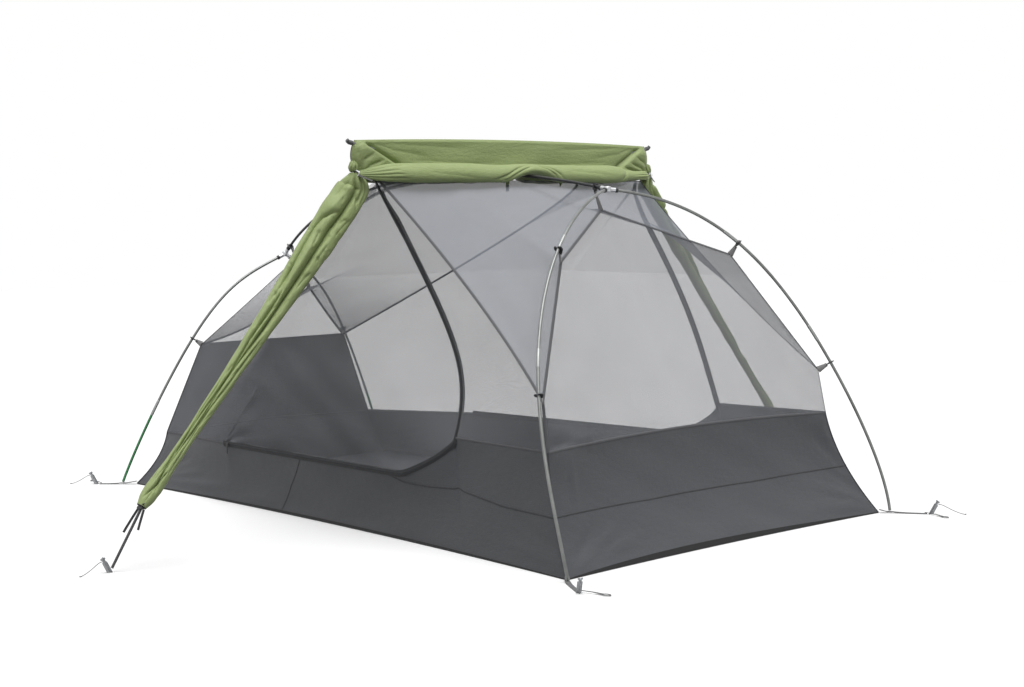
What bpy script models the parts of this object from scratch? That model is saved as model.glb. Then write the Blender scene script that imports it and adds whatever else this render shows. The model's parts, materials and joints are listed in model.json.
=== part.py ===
"""A freestanding two-person tent, pitched with its fly rolled up.

The inner tent hangs by clips from a frame of bent poles. The fly is rolled up along the
ridge pole, and its two door panels are bunched into strips and staked out at the sides.
Units are metres. +Z is up, +X points to the wide head end and -Y is the right side.
The tent is the same on both sides, so most pieces are made once for each side.
"""

import math

import bmesh
import bpy
import numpy as np
from mathutils import Vector

SIDES = {"right": -1.0, "left": 1.0}

# Floor
FLOOR_LENGTH = 2.15
HEAD_WIDTH = 1.354
FOOT_WIDTH = 1.09
FLOOR_BOW = 0.035  # how far the long edges of the floor are cut inward
END_BOW = 0.02  # the same for the head and foot edges
FLOOR_THICKNESS = 0.002
WALL_START = 0.003  # height of the tub walls' lower edge

# Cloth and the joins between panels
CLOTH = 0.0016
SEAM_INSET = 0.0015
TOUCH_GAP = 0.0003

# Corner edge at the head: insets from the floor's corner, and heights
HEAD_CORNER_BULGE = (0.022, 0.010)
HEAD_TUB_INSET = (0.14, 0.077)
HEAD_TUB_HEIGHT = 0.30
HEAD_LOW_HANG = (0.164, 0.084, 0.43)
HEAD_HIGH_HANG = (0.319, 0.314, 0.782)
HEAD_TOP_BOW = (0.03, 0.012)  # how far the middle of the head wall's tub edge lies inward and up
HEAD_PEAK_INSET = 0.507
HEAD_PEAK_HEIGHT = 0.919

# Corner edge at the foot
FOOT_CORNER_BULGE = (0.012, 0.014)
FOOT_TUB_INSET = (0.033, 0.102)
FOOT_TUB_HEIGHT = 0.17
FOOT_HANG = (0.058, 0.233, 0.465)
FOOT_PEAK_INSET = 0.26
FOOT_PEAK_HEIGHT = 0.655

# Ridge of the inner tent
RIDGE_INSET = 0.85
RIDGE_SPAN = 1.113
RIDGE_HANG = 0.032  # from the middle of the ridge pole down to the ends of the ridge
RIDGE_DROP = 0.018  # how far it sags between its middle and its ends
HEAD_SEAM_BOW = (0.022, 0.034, 0.021)  # how far the head roof's side seams bend: forward, in and down
FOOT_SEAM_INSET = 0.298  # where the foot roof's side seams meet the ridge, in from its ends
FOOT_SEAM_RISE = (1.237, 0.183, 0.564)  # pull on their lower ends: forward, out and up
FOOT_SEAM_LANDING = (0.214, 0.195)  # and on their upper ends: back and out
ROOF_CREASE_FADING = 2.0  # how quickly the foot roof's middle crease flattens out toward the ridge
GABLE_BOW = 0.006
GABLE_EDGE_BOW = (0.012, 0.007, 0.023)  # how far the foot gable's top edges sag: forward, out and down
CREASE_WIDTH = 0.012  # width at the ridge of the roof's narrow outer triangles
PEAK_CUT = 0.012  # how much of the foot gable's sharp top is left off

# Door, in its wall: x and height
DOOR_FOOT_INSET = 0.505
DOOR_RUN = 0.91
DOOR_SILL = 0.185
DOOR_FOOT_SIDE_INSET = 0.031  # of the wall line, from the straight floor edge
DOOR_HEAD_SIDE_INSET = 0.035
DOOR_BELLY = (0.204, 0.106)  # how far the curve goes past the run, and how far up
DOOR_CORNER_PULL = (0.040, 0.030)  # how strongly the low curve is drawn along the sill and up
DOOR_RISE_PULL = 0.211  # the same for the curve above the belly
DOOR_TOP_PULL = (0.262, 0.360)  # and for its top, forward and down
DOOR_TOP_DROP = 0.033
DOOR_TOP_SHIFT = -0.018
DOOR_CUT = 0.017  # how much of the door's sharp corner at the foot is left off
WALL_BOW = 0.062  # how far the side wall is drawn in beside the door
WALL_BOW_REACH = 0.11
WALL_TOP_INSET = 0.0215  # how far in from the ridge's end the door's plane meets the ridge
WALL_BOW_END = 0.30  # the bow fades out over this length before the head corner
HINGE_TOP = (0.04, 0.02, 0.04)  # back, in and down from the ridge's end
TOP_CUT = 0.2  # share of the zip's last stretch that the cloth beside it leaves free
ZIP_TOP_CUT = 0.35  # and that the zip itself leaves free

# Zip
ZIP_WIDTH = 0.008
ZIP_THICKNESS = 0.0022
SLIDER_LENGTH = 0.014
SLIDER_WIDTH = 0.010
SLIDER_HEIGHT = 0.005
PULL_LENGTH = 0.030
PULL_WIDTH = 0.006
PULL_THICKNESS = 0.0015
SLIDER_START = 0.03  # from the foot end of the zip
SLIDER_CLEAR = 0.0015  # between the zip and the slider
SLIDER_TOP = (0.8, 0.7)  # length and width of the slider's outer face, against its inner face
PULL_TOP = 0.6  # height of the pull, as a share of the slider's
PULL_TAPER = 0.7
ZIP_GAP = ZIP_WIDTH / 2 + 0.001  # from the zip's line to the cloth beside it

# Poles
POLE_RADIUS = 0.0045
HEAD_HUB = (0.482, 0.979)
FOOT_HUB = (0.128, 0.768)
HEAD_LEG_SHAPE = ((0.266, 0.265, 0.934), (0.284, 0.046, 0.642), (0.018, -0.037, 0.245))
HEAD_LEG_FOOT = (-0.025, -0.023)
FOOT_LEG_SHAPE = ((0.067, 0.340, 0.668), (0.056, 0.276, 0.661), (-0.021, 0.035, 0.182))
FOOT_LEG_FOOT = (-0.037, -0.033)
GREEN_LENGTH = 0.27
SPINE_RISE = (0.25, 0.264)  # first bend of the spine pole, from the foot hub
SPINE_REACH = (0.627, 0.113)  # its second bend, back from the head hub
RIDGE_POLE_INSET = 0.885  # from the head edge of the floor
RIDGE_POLE_SPAN = 1.27
RIDGE_POLE_RISE = 0.075
RIDGE_POLE_BEND = 1.6  # power of the rise: how late along the pole it comes
POLE_TIP_HEIGHT = 0.007
POLE_TIP_SLANT = 0.002  # how far below its centre a leaning tip's edge reaches

# Hubs and clips
HUB_RADIUS = 0.011
HUB_HEIGHT = 0.016
ARM_RADIUS = 0.0068
ARM_LENGTH = 0.030
SOCKET_DEPTH = 0.016
BORE_OVERSHOOT = 0.01
SOCKET_GAP = 0.00075  # round a pole, in a hub's socket or a clip
CLIP_WALL = 0.0028
CLIP_WIDTH = 0.012
CLIP_NECK = 0.007
CLIP_NECK_LENGTH = 0.006
CLIP_OPENING = math.radians(50)  # half the angle that a clip leaves open
HEAD_PEAK_CLIP = (-0.05, 0.0, 0.0)  # where the peaks' clips sit on the spine pole, from its hubs
FOOT_PEAK_CLIP = (0.03, 0.0, 0.03)
STRAP_SHOULDER = 0.003  # from the clip's neck to where the strap widens
STRAP_WIDTH = 0.020
STRAP_THICKNESS = 0.0018
STRAP_END_GAP = 0.004
SADDLE_LENGTH = 0.028
SADDLE_FLOOR = 0.003
SADDLE_CHEEK = 0.007
SADDLE_GAP = 0.0012

# Fly
FLY_TOP_GAP = 0.0102  # between the ridge pole's ends and the fly's top edge
FLY_SPAN = 1.24
FLY_CLOTH = 0.003
BAND_DROP = 0.088
BAND_SPREAD = 0.022
BAND_PROFILE = ((1.0, 1.0), (0.8, 0.66), (0.62, 0.30), (0.36, 0.0))  # shares of the spread and the drop
FLY_END_POWER = 6  # how late along the fly its ends draw in
ROLL_RADIUS = 0.0285
ROLL_OFFSET = 0.0635
ROLL_DROP = 0.1005  # of each roll's middle, below the fly's top edge
ROLL_ARCH = 0.020  # how far a roll is lifted where it crosses the spine pole
ROLL_ARCH_HALF = 0.12
ROLL_PINCH = 0.60  # how much thinner it is there
ROLL_SPAN = 1.19
ROLL_CLOSING = 0.45  # how far its ends are drawn in to the ridge pole
ROLL_TAPER = 0.45
BAND_CLOSING = 0.55
BAND_FOLD = 0.004  # depth of the soft folds along the band
BAND_FOLD_LENGTH = 0.46
BAND_DROOP = 0.012  # how much lower the band's top is at its ends
ROLL_FOLD = 0.07  # depth of the roll's lobes, as a share of its radius
ROLL_CREASE = 0.10  # depth of the line where the rolled cloth ends
ROLL_CREASE_ANGLE = 1.9
STRIP_TOP_OUT = 0.0525  # outward of the ridge end
STRIP_TOP_DROP = 0.132  # below the fly's top edge
STRIP_END_OUT = 0.7795
STRIP_END_HEIGHT = 0.165
STRIP_LEAN = 0.01  # toward the foot, over the whole strip
STRIP_SAG = 0.008
STRIP_HALF_WIDTH = 0.058
STRIP_HALF_DEPTH = 0.024
STRIP_TILT = math.radians(52)
# Share of the strip's width at shares of its length: it is full near its top and thin further down
STRIP_WIDTHS = (
    (0.0, 0.50),
    (0.05, 0.76),
    (0.12, 0.80),
    (0.20, 0.75),
    (0.35, 0.55),
    (0.50, 0.44),
    (0.66, 0.38),
    (0.82, 0.28),
    (0.93, 0.34),
    (1.0, 0.36),
)
STRIP_CREASES = ((5, 0.20, 2.2), (9, 0.10, 7.0))  # number round the strip, depth and twist of each kind
STRIP_CREASE_ACROSS = 0.35  # depth of the creases at the strip's edges, against its faces
STRIP_LEAST_DEPTH = 0.55  # depth that a strip would keep at no width, against its full depth

# Stakes and webbing
STAKE_BLADE = 0.0075
STAKE_WEB = 0.0016
STAKE_HEIGHT = 0.046
STAKE_NOTCH = 0.62  # size of the section at the notch, against the rest
STAKE_TOP = 0.9
STAKE_SECTIONS = (  # height and size of each section, as shares
    (0.0, 1.0),
    (0.72, 1.0),
    (0.76, STAKE_NOTCH),
    (0.86, STAKE_NOTCH),
    (0.90, 1.0),
    (1.0, STAKE_TOP),
)
STAKE_TILT = math.radians(28)
HEAD_STAKE = (-0.125, -0.088)
FOOT_STAKE = (-0.103, -0.094)
VESTIBULE_STAKE_OUT = 0.8595
VESTIBULE_STAKE_BACK = 0.03  # toward the foot, from the strip's end
WEBBING_WIDTH = 0.013
WEBBING_THICKNESS = 0.0016
WEBBING_START = 0.010  # height of the strap's end at the tub's corner
WEBBING_RAMP = 0.006  # its height halfway to the pole's tip
WEBBING_DOWN = 2.5  # how many grommet radii past the tip the strap is back on the ground
WEBBING_REST = 0.0002  # gap between the ground and what lies on it
STAKE_CLEAR = 0.002  # between a strap and its stake
STRIP_STRAP_GAP = 0.004  # between a bunched door panel and its strap
GROMMET_RADIUS = 0.0095
CORD_RADIUS = 0.001
CORD_HEIGHT = 0.81  # where the cord is tied to its stake, as a share of the stake's height
CORD_MIDDLE = 0.72  # height of the cord's middle, against that of its start
CORD_BEND = 0.35  # share of its reach where it bends over
CORD_LANDING = 0.012  # from its reach to where it comes down on the ground

# Colours (linear) and finishes
DARK_CLOTH = (0.075, 0.077, 0.085)
MESH_CLOTH = (0.38, 0.39, 0.41)
ROOF_CLOTH = (0.24, 0.25, 0.29)
GREEN_CLOTH = (0.27, 0.36, 0.13)
ZIP_BLACK = (0.022, 0.023, 0.025)
POLE_GREY = (0.10, 0.105, 0.10)
POLE_GREEN = (0.035, 0.16, 0.06)
SILVER = (0.62, 0.63, 0.64)
CLIP_BLACK = (0.02, 0.02, 0.022)
WEBBING_GREY = (0.12, 0.12, 0.13)
STAKE_GREY = (0.25, 0.27, 0.28)

HALF_LENGTH = FLOOR_LENGTH / 2
HALF_HEAD = HEAD_WIDTH / 2
HALF_FOOT = FOOT_WIDTH / 2
RIDGE_X = HALF_LENGTH - RIDGE_INSET
RIDGE_POLE_X = HALF_LENGTH - RIDGE_POLE_INSET


def head_place(inset, side_inset, height, side=1.0):
    """A point given by its insets from a head corner of the floor."""
    return np.array((HALF_LENGTH - inset, side * (HALF_HEAD - side_inset), height))


def foot_place(inset, side_inset, height, side=1.0):
    """A point given by its insets from a foot corner of the floor."""
    return np.array((inset - HALF_LENGTH, side * (HALF_FOOT - side_inset), height))


def edge_y(x):
    """Half width of the straight-sided floor at x."""
    return np.interp(x, (-HALF_LENGTH, HALF_LENGTH), (HALF_FOOT, HALF_HEAD))


def mirrored(points, side):
    """Points of the left side, carried to the given side."""
    return np.asarray(points) * np.array((1.0, side, 1.0))


def bezier(points, steps):
    """Points along the Bezier curve of any order with these control points."""
    controls = np.asarray(points, dtype=float)
    order = len(controls) - 1
    t = np.linspace(0.0, 1.0, steps + 1)[:, None]
    weights = [math.comb(order, k) * (1 - t) ** (order - k) * t**k for k in range(order + 1)]
    return sum(weight * control for weight, control in zip(weights, controls))


def along(points):
    """Distance along a polyline at each of its points."""
    steps = np.linalg.norm(np.diff(points, axis=0), axis=1)
    return np.concatenate(([0.0], np.cumsum(steps)))


def resample(points, steps, start=0.0, end=None):
    """Evenly spaced points on a polyline, from one distance along it to another."""
    points = np.asarray(points, dtype=float)
    distance = along(points)
    stop = distance[-1] if end is None else end
    wanted = np.linspace(start, stop, steps + 1)
    return np.stack([np.interp(wanted, distance, points[:, k]) for k in range(points.shape[1])], 1)


def trimmed(points, cut):
    """A polyline with this much of its first stretch cut off."""
    points = np.array(points, dtype=float)
    step = points[1] - points[0]
    points[0] += step / np.linalg.norm(step) * cut
    return points


def line(a, b, steps):
    """Evenly spaced points from a to b."""
    return resample([a, b], steps)


def coons(bottom, top, left, right, fading=1.0):
    """A grid of points that fills four boundary curves.

    It is ruled from left to right. What the bottom and top curves add to their chords fades
    out between them, and more quickly with a higher power.
    """
    bottom, top, left, right = (np.asarray(edge, dtype=float) for edge in (bottom, top, left, right))
    u = np.linspace(0.0, 1.0, len(bottom))[:, None, None]
    v = np.linspace(0.0, 1.0, len(left))[None, :, None]
    ruled = (1 - u) * left[None] + u * right[None]
    low = bottom[:, None] - (1 - u) * bottom[0] - u * bottom[-1]
    high = top[:, None] - (1 - u) * top[0] - u * top[-1]
    return ruled + (1 - v) ** fading * low + v**fading * high


# Pole lines

def head_hub_point():
    """Middle of the head hub."""
    inset, height = HEAD_HUB
    return np.array((HALF_LENGTH - inset, 0.0, height))


def foot_hub_point():
    """Middle of the foot hub."""
    inset, height = FOOT_HUB
    return np.array((inset - HALF_LENGTH, 0.0, height))


def head_leg_line(side):
    """Centre line of a head leg, from its hub to the ground."""
    bends = [head_place(*bend, side) for bend in HEAD_LEG_SHAPE]
    foot = head_place(*HEAD_LEG_FOOT, POLE_TIP_HEIGHT, side)
    return resample(bezier((head_hub_point(), *bends, foot), 80), 24)


def foot_leg_lines(side):
    """Centre lines of a foot leg's two sections, from its hub to the ground."""
    bends = [foot_place(*bend, side) for bend in FOOT_LEG_SHAPE]
    foot = foot_place(*FOOT_LEG_FOOT, POLE_TIP_HEIGHT, side)
    whole = bezier((foot_hub_point(), *bends, foot), 80)
    length = along(whole)[-1]
    cut = length - GREEN_LENGTH
    return resample(whole, 14, 0.0, cut), resample(whole, 6, cut, length)


def spine_line():
    """Centre line of the spine pole, from the foot hub to the head hub."""
    start, end = foot_hub_point(), head_hub_point()
    first = start + np.array((SPINE_RISE[0], 0.0, SPINE_RISE[1]))
    second = end + np.array((-SPINE_REACH[0], 0.0, SPINE_REACH[1]))
    return resample(bezier((start, first, second, end), 120), 26)


def spine_height(x):
    """Height of the spine pole's centre line at x."""
    spine = spine_line()
    return float(np.interp(x, spine[:, 0], spine[:, 2]))


def ridge_pole_height():
    """Height of the ridge pole's middle, which rests on the spine pole's saddle."""
    return spine_height(RIDGE_POLE_X) + 2 * POLE_RADIUS + SADDLE_GAP + SADDLE_FLOOR + TOUCH_GAP


def ridge_pole_line():
    """Centre line of the ridge pole, whose ends rise."""
    y = np.linspace(-RIDGE_POLE_SPAN / 2, RIDGE_POLE_SPAN / 2, 41)
    rise = RIDGE_POLE_RISE * np.abs(y / (RIDGE_POLE_SPAN / 2)) ** RIDGE_POLE_BEND
    return np.stack([np.full_like(y, RIDGE_POLE_X), y, ridge_pole_height() + rise], axis=1)


def fly_top():
    """Height of the fly's top edge over the middle of the ridge pole."""
    return ridge_pole_line()[-1, 2] + POLE_RADIUS + FLY_CLOTH / 2 + FLY_TOP_GAP


# The inner tent's fixed points, on the left side
HEAD_TUB = head_place(*HEAD_TUB_INSET, HEAD_TUB_HEIGHT)
HEAD_LOW = head_place(*HEAD_LOW_HANG)
HEAD_HIGH = head_place(*HEAD_HIGH_HANG)
HEAD_PEAK = np.array((HALF_LENGTH - HEAD_PEAK_INSET, 0.0, HEAD_PEAK_HEIGHT))
FOOT_TUB = foot_place(*FOOT_TUB_INSET, FOOT_TUB_HEIGHT)
FOOT_HIGH = foot_place(*FOOT_HANG)
FOOT_PEAK = np.array((FOOT_PEAK_INSET - HALF_LENGTH, 0.0, FOOT_PEAK_HEIGHT))
RIDGE_HEIGHT = ridge_pole_height() - RIDGE_HANG
RIDGE_END = np.array((RIDGE_X, RIDGE_SPAN / 2, RIDGE_HEIGHT))

# The door's outline in its wall
DOOR_FOOT_X = DOOR_FOOT_INSET - HALF_LENGTH
DOOR_HEAD_X = DOOR_FOOT_X + DOOR_RUN
DOOR_BELLY_X = DOOR_HEAD_X + DOOR_BELLY[0]
DOOR_BELLY_Z = DOOR_SILL + DOOR_BELLY[1]
DOOR_TOP = np.array((RIDGE_X + DOOR_TOP_SHIFT, RIDGE_HEIGHT - DOOR_TOP_DROP))
DOOR_START = np.array((DOOR_FOOT_X, DOOR_SILL))


def wall_y(x, z):
    """Half width of the inner tent's side wall at x and height z, above the tub."""
    sill_x = (FOOT_TUB[0], DOOR_FOOT_X, DOOR_HEAD_X, HEAD_TUB[0])
    sill_y = (
        FOOT_TUB[1],
        edge_y(DOOR_FOOT_X) - DOOR_FOOT_SIDE_INSET,
        edge_y(DOOR_HEAD_X) - DOOR_HEAD_SIDE_INSET,
        HEAD_TUB[1],
    )
    sill_z = (FOOT_TUB[2], DOOR_SILL, DOOR_SILL, HEAD_TUB[2])
    seam = np.array((FOOT_HIGH, RIDGE_END - np.array((0.0, WALL_TOP_INSET, 0.0)), HEAD_LOW))
    low_y = np.interp(x, sill_x, sill_y)
    low_z = np.interp(x, sill_x, sill_z)
    high_y = np.interp(x, seam[:, 0], seam[:, 1])
    high_z = np.interp(x, seam[:, 0], seam[:, 2])
    rise = np.clip((z - low_z) / (high_z - low_z), 0.0, 1.0)
    hinge = DOOR_TOP - DOOR_START
    hinge = hinge / np.linalg.norm(hinge)
    from_hinge = (x - DOOR_START[0]) * hinge[1] - (z - DOOR_START[1]) * hinge[0]
    share = np.clip(from_hinge / WALL_BOW_REACH, 0.0, 1.0)
    share = np.minimum(share, np.clip((HEAD_TUB[0] - x) / WALL_BOW_END, 0.0, 1.0))
    share = share * share * (3 - 2 * share)
    return low_y + (high_y - low_y) * rise - WALL_BOW * share * np.sin(math.pi * rise)


def on_wall(flat, side):
    """Lifts points given as (x, height) onto the side wall."""
    flat = np.asarray(flat, dtype=float)
    x, z = flat[..., 0], flat[..., 1]
    return np.stack([x, side * wall_y(x, z), z], axis=-1)


def door_curve():
    """The zip's line in the wall, as (x, height), in two stretches that meet at the tub's top.

    The first runs along the sill and round its end, and the second up to the ridge.
    """
    corner = (DOOR_HEAD_X, DOOR_SILL)
    belly = (DOOR_BELLY_X, DOOR_BELLY_Z)
    along_sill = (DOOR_HEAD_X + DOOR_CORNER_PULL[0], DOOR_SILL)
    under_belly = (DOOR_BELLY_X, DOOR_BELLY_Z - DOOR_CORNER_PULL[1])
    over_belly = (DOOR_BELLY_X, DOOR_BELLY_Z + DOOR_RISE_PULL)
    under_top = (DOOR_TOP[0] + DOOR_TOP_PULL[0], DOOR_TOP[1] - DOOR_TOP_PULL[1])
    low = bezier((corner, along_sill, under_belly, belly), 40)
    high = bezier((belly, over_belly, under_top, DOOR_TOP), 60)
    below, above = split_at_height(np.vstack((low, high[1:])), HEAD_TUB_HEIGHT)
    run = line(DOOR_START, corner, 7)
    return np.vstack((run, resample(below, 7)[1:])), resample(above, 12)


def whole_door_curve():
    """Both stretches of the zip's line."""
    below, above = door_curve()
    return np.vstack((below, above[1:]))


def split_at_height(curve, height):
    """Cuts a rising (x, height) curve in two where it first passes this height."""
    index = int(np.argmax(curve[:, 1] > height))
    before, after = curve[index - 1], curve[index]
    share = (height - before[1]) / (after[1] - before[1])
    cut = before + (after - before) * share
    return np.vstack((curve[:index], cut)), np.vstack((cut, curve[index:]))


def material(name, colour, roughness, metallic=0.0):
    """A plain Principled material."""
    made = bpy.data.materials.new(name)
    made.use_nodes = True
    shader = made.node_tree.nodes["Principled BSDF"]
    shader.inputs["Base Color"].default_value = (*colour, 1.0)
    shader.inputs["Roughness"].default_value = roughness
    shader.inputs["Metallic"].default_value = metallic
    made.diffuse_color = (*colour, 1.0)
    return made


def add_object(name, vertices, faces, finish, origin=(0.0, 0.0, 0.0), smooth=True):
    """Makes one named object, with its origin where its joint is, if it has one."""
    base = np.asarray(origin, dtype=float)
    mesh = bpy.data.meshes.new(name)
    mesh.from_pydata([tuple(np.asarray(v) - base) for v in vertices], [], faces)
    mesh.materials.append(finish)
    body = bmesh.new()
    body.from_mesh(mesh)
    bmesh.ops.recalc_face_normals(body, faces=body.faces)
    body.to_mesh(mesh)
    body.free()
    if smooth:
        mesh.shade_smooth()
        mesh.set_sharp_from_angle(angle=math.radians(40))
    made = bpy.data.objects.new(name, mesh)
    made.location = base
    bpy.context.collection.objects.link(made)
    return made


def grid_normals(grid):
    """Unit normals of a grid of points."""
    along_u = np.gradient(grid, axis=0)
    along_v = np.gradient(grid, axis=1)
    normals = np.cross(along_u, along_v)
    return normals / np.linalg.norm(normals, axis=2, keepdims=True)


def inset_grid(grid, insets):
    """Draws each side of a grid in by its inset (bottom, top, left, right), square to the side."""
    bottom, top, left, right = insets
    normals = grid_normals(grid)
    moved = grid.copy()
    plans = (
        (np.s_[:, 0], np.s_[:, 1], bottom),
        (np.s_[:, -1], np.s_[:, -2], top),
        (np.s_[0, :], np.s_[1, :], left),
        (np.s_[-1, :], np.s_[-2, :], right),
    )
    for edge, inner, inset in plans:
        points = grid[edge]
        steps = np.diff(points, axis=0)
        inward = np.cross((normals[edge][1:] + normals[edge][:-1]) / 2, steps)
        inward /= np.linalg.norm(inward, axis=1, keepdims=True)
        toward = (grid[inner] - points)[1:] + (grid[inner] - points)[:-1]
        inward *= np.where(np.sum(inward * toward, axis=1) < 0, -1.0, 1.0)[:, None]
        before, after = np.vstack((inward[:1], inward)), np.vstack((inward, inward[-1:]))
        mitre = (before + after) / (1.0 + np.sum(before * after, axis=1, keepdims=True))
        moved[edge] += mitre * np.broadcast_to(inset, len(points))[:, None]
    return moved


def add_sheet(name, grid, thickness, finish, insets=(SEAM_INSET,) * 4, origin=(0.0, 0.0, 0.0)):
    """A closed sheet of even thickness over a grid of points."""
    grid = inset_grid(np.asarray(grid, dtype=float), insets)
    rows, columns = grid.shape[:2]
    offset = grid_normals(grid) * thickness / 2
    vertices = np.concatenate(((grid + offset).reshape(-1, 3), (grid - offset).reshape(-1, 3)))
    layer = rows * columns

    def index(i, j):
        return i * columns + j

    faces = []
    for i in range(rows - 1):
        for j in range(columns - 1):
            a, b, c, d = index(i, j), index(i + 1, j), index(i + 1, j + 1), index(i, j + 1)
            for triangle in ([a, b, c], [a, c, d]):
                faces.append(triangle)
                faces.append([k + layer for k in reversed(triangle)])
    rim = [index(i, 0) for i in range(rows)]
    rim += [index(rows - 1, j) for j in range(1, columns)]
    rim += [index(i, columns - 1) for i in range(rows - 2, -1, -1)]
    rim += [index(0, j) for j in range(columns - 2, 0, -1)]
    for a, b in zip(rim, rim[1:] + rim[:1]):
        faces.append([b, a, a + layer, b + layer])
    return add_object(name, vertices, faces, finish, origin)


def frames_along(path, up=(0.0, 0.0, 1.0)):
    """Tangent, sideways and upward unit vectors at each point of a path."""
    tangents = np.gradient(np.asarray(path, dtype=float), axis=0)
    tangents /= np.linalg.norm(tangents, axis=1, keepdims=True)
    sideways = np.cross(tangents, np.asarray(up, dtype=float))
    sideways /= np.linalg.norm(sideways, axis=1, keepdims=True)
    return tangents, sideways, np.cross(sideways, tangents)


def skin_rings(rings):
    """Vertices and faces of a closed solid through rings of points, with flat ends."""
    rings = np.asarray(rings, dtype=float)
    count, around = rings.shape[:2]
    faces = []
    for i in range(count - 1):
        for j in range(around):
            k = (j + 1) % around
            faces.append([i * around + j, i * around + k, (i + 1) * around + k, (i + 1) * around + j])
    faces.append(list(range(around))[::-1])
    faces.append([(count - 1) * around + j for j in range(around)])
    return rings.reshape(-1, 3), faces


def add_swept(name, path, outline, finish, up=(0.0, 0.0, 1.0), origin=(0.0, 0.0, 0.0)):
    """Sweeps an outline of (sideways, upward) points along a path."""
    path = np.asarray(path, dtype=float)
    _, sideways, upward = frames_along(path, up)
    outline = np.asarray(outline, dtype=float)
    rings = path[:, None] + sideways[:, None] * outline[None, :, :1]
    rings = rings + upward[:, None] * outline[None, :, 1:]
    return add_object(name, *skin_rings(rings), finish, origin)


def rectangle(width, height):
    """A flat outline for a strap."""
    x, y = width / 2, height / 2
    return ((-x, -y), (x, -y), (x, y), (-x, y))


def add_tube(name, path, radius, finish, resolution=2):
    """A round rod along a path, as a curve with filled ends."""
    curve = bpy.data.curves.new(name, "CURVE")
    curve.dimensions = "3D"
    curve.bevel_depth = radius
    curve.bevel_resolution = resolution
    curve.use_fill_caps = True
    spline = curve.splines.new("POLY")
    spline.points.add(len(path) - 1)
    for point, place in zip(spline.points, path):
        point.co = (*place, 1.0)
    curve.materials.append(finish)
    made = bpy.data.objects.new(name, curve)
    bpy.context.collection.objects.link(made)
    return made


def remove_at_start():
    """Empties the scene that the script starts in."""
    for old in list(bpy.data.objects):
        bpy.data.objects.remove(old, do_unlink=True)


# Inner tent

def ground_edge(side, shares):
    """The floor's long edge, cut slightly inward, at these shares of its length from the foot."""
    x = (np.asarray(shares) * 2 - 1) * HALF_LENGTH
    y = edge_y(x) - FLOOR_BOW * (1 - (x / HALF_LENGTH) ** 2)
    return np.stack([x, side * y, np.full_like(x, WALL_START)], axis=1)


def end_edge(end, steps):
    """The floor's head or foot edge, from right to left, cut slightly inward."""
    half = HALF_HEAD if end > 0 else HALF_FOOT
    y = np.linspace(-half, half, steps + 1)
    x = end * (HALF_LENGTH - END_BOW * (1 - (y / half) ** 2))
    return np.stack([x, y, np.full_like(x, WALL_START)], axis=1)


def corner_edge(end, side, steps):
    """The upright seam at a corner, from the floor to the top of the tub."""
    if end > 0:
        low, high = head_place(0.0, 0.0, WALL_START, side), mirrored(HEAD_TUB, side)
        inward, across = HEAD_CORNER_BULGE
    else:
        low, high = foot_place(0.0, 0.0, WALL_START, side), mirrored(FOOT_TUB, side)
        inward, across = FOOT_CORNER_BULGE
    bulge = np.array((-end * inward, -side * across, 0.0))
    t = np.linspace(0.0, 1.0, steps + 1)[:, None]
    return low + (high - low) * t + 4 * t * (1 - t) * bulge


def head_tub_top(steps):
    """Top edge of the head tub wall, from right to left: it bows inward and up in the middle."""
    t = np.linspace(0.0, 1.0, steps + 1)[:, None]
    ends = mirrored(HEAD_TUB, -1) + (HEAD_TUB - mirrored(HEAD_TUB, -1)) * t
    inward, up = HEAD_TOP_BOW
    return ends + 4 * t * (1 - t) * np.array((-inward, 0.0, up))


def side_tub_top():
    """Top edge of a side tub wall as (x, height), and how far each point is drawn in.

    It runs from foot to head, and follows the zip past the door.
    """
    below, _ = door_curve()
    start = line(FOOT_TUB[[0, 2]], below[0], 4)[:-1]
    end = line(below[-1], HEAD_TUB[[0, 2]], 4)[1:]
    insets = np.full(len(start) + len(below) + len(end), SEAM_INSET)
    insets[len(start):len(start) + len(below)] = ZIP_GAP
    return np.vstack((start, below, end)), insets


def add_floor(finish):
    """The floor sheet, lying flat on the ground."""
    steps = 10
    left = end_edge(-1, steps)
    right = end_edge(1, steps)
    shares = np.linspace(0.0, 1.0, steps + 1)
    grid = coons(ground_edge(-1, shares), ground_edge(1, shares), left, right)
    grid[..., 2] = FLOOR_THICKNESS / 2
    edge = CLOTH / 2 + SEAM_INSET
    return add_sheet("floor_sheet", grid, FLOOR_THICKNESS, finish, (edge,) * 4)


def add_tub_walls(finish):
    """The low walls round the floor, and the tall solid wall at the foot."""
    rows = 4
    top, top_insets = side_tub_top()
    shares = (top[:, 0] - top[0, 0]) / (top[-1, 0] - top[0, 0])
    for word, side in SIDES.items():
        grid = coons(
            ground_edge(side, shares),
            on_wall(top, side),
            corner_edge(-1, side, rows),
            corner_edge(1, side, rows),
        )
        add_sheet(f"tub_wall_{word}", grid, CLOTH, finish, (0.0, top_insets, SEAM_INSET, SEAM_INSET))
    steps = 12
    grid = coons(end_edge(1, steps), head_tub_top(steps), corner_edge(1, -1, rows), corner_edge(1, 1, rows))
    add_sheet("tub_wall_head", grid, CLOTH, finish, (0.0, SEAM_INSET, SEAM_INSET, SEAM_INSET))
    high = line(mirrored(FOOT_HIGH, -1), FOOT_HIGH, steps)
    upper = line(FOOT_TUB, FOOT_HIGH, 3)[1:]
    edges = [np.vstack((corner_edge(-1, side, rows), mirrored(upper, side))) for side in (-1, 1)]
    grid = coons(end_edge(-1, steps), high, *edges)
    add_sheet("end_wall_foot", grid, CLOTH, finish, (0.0, SEAM_INSET, SEAM_INSET, SEAM_INSET))


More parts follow.
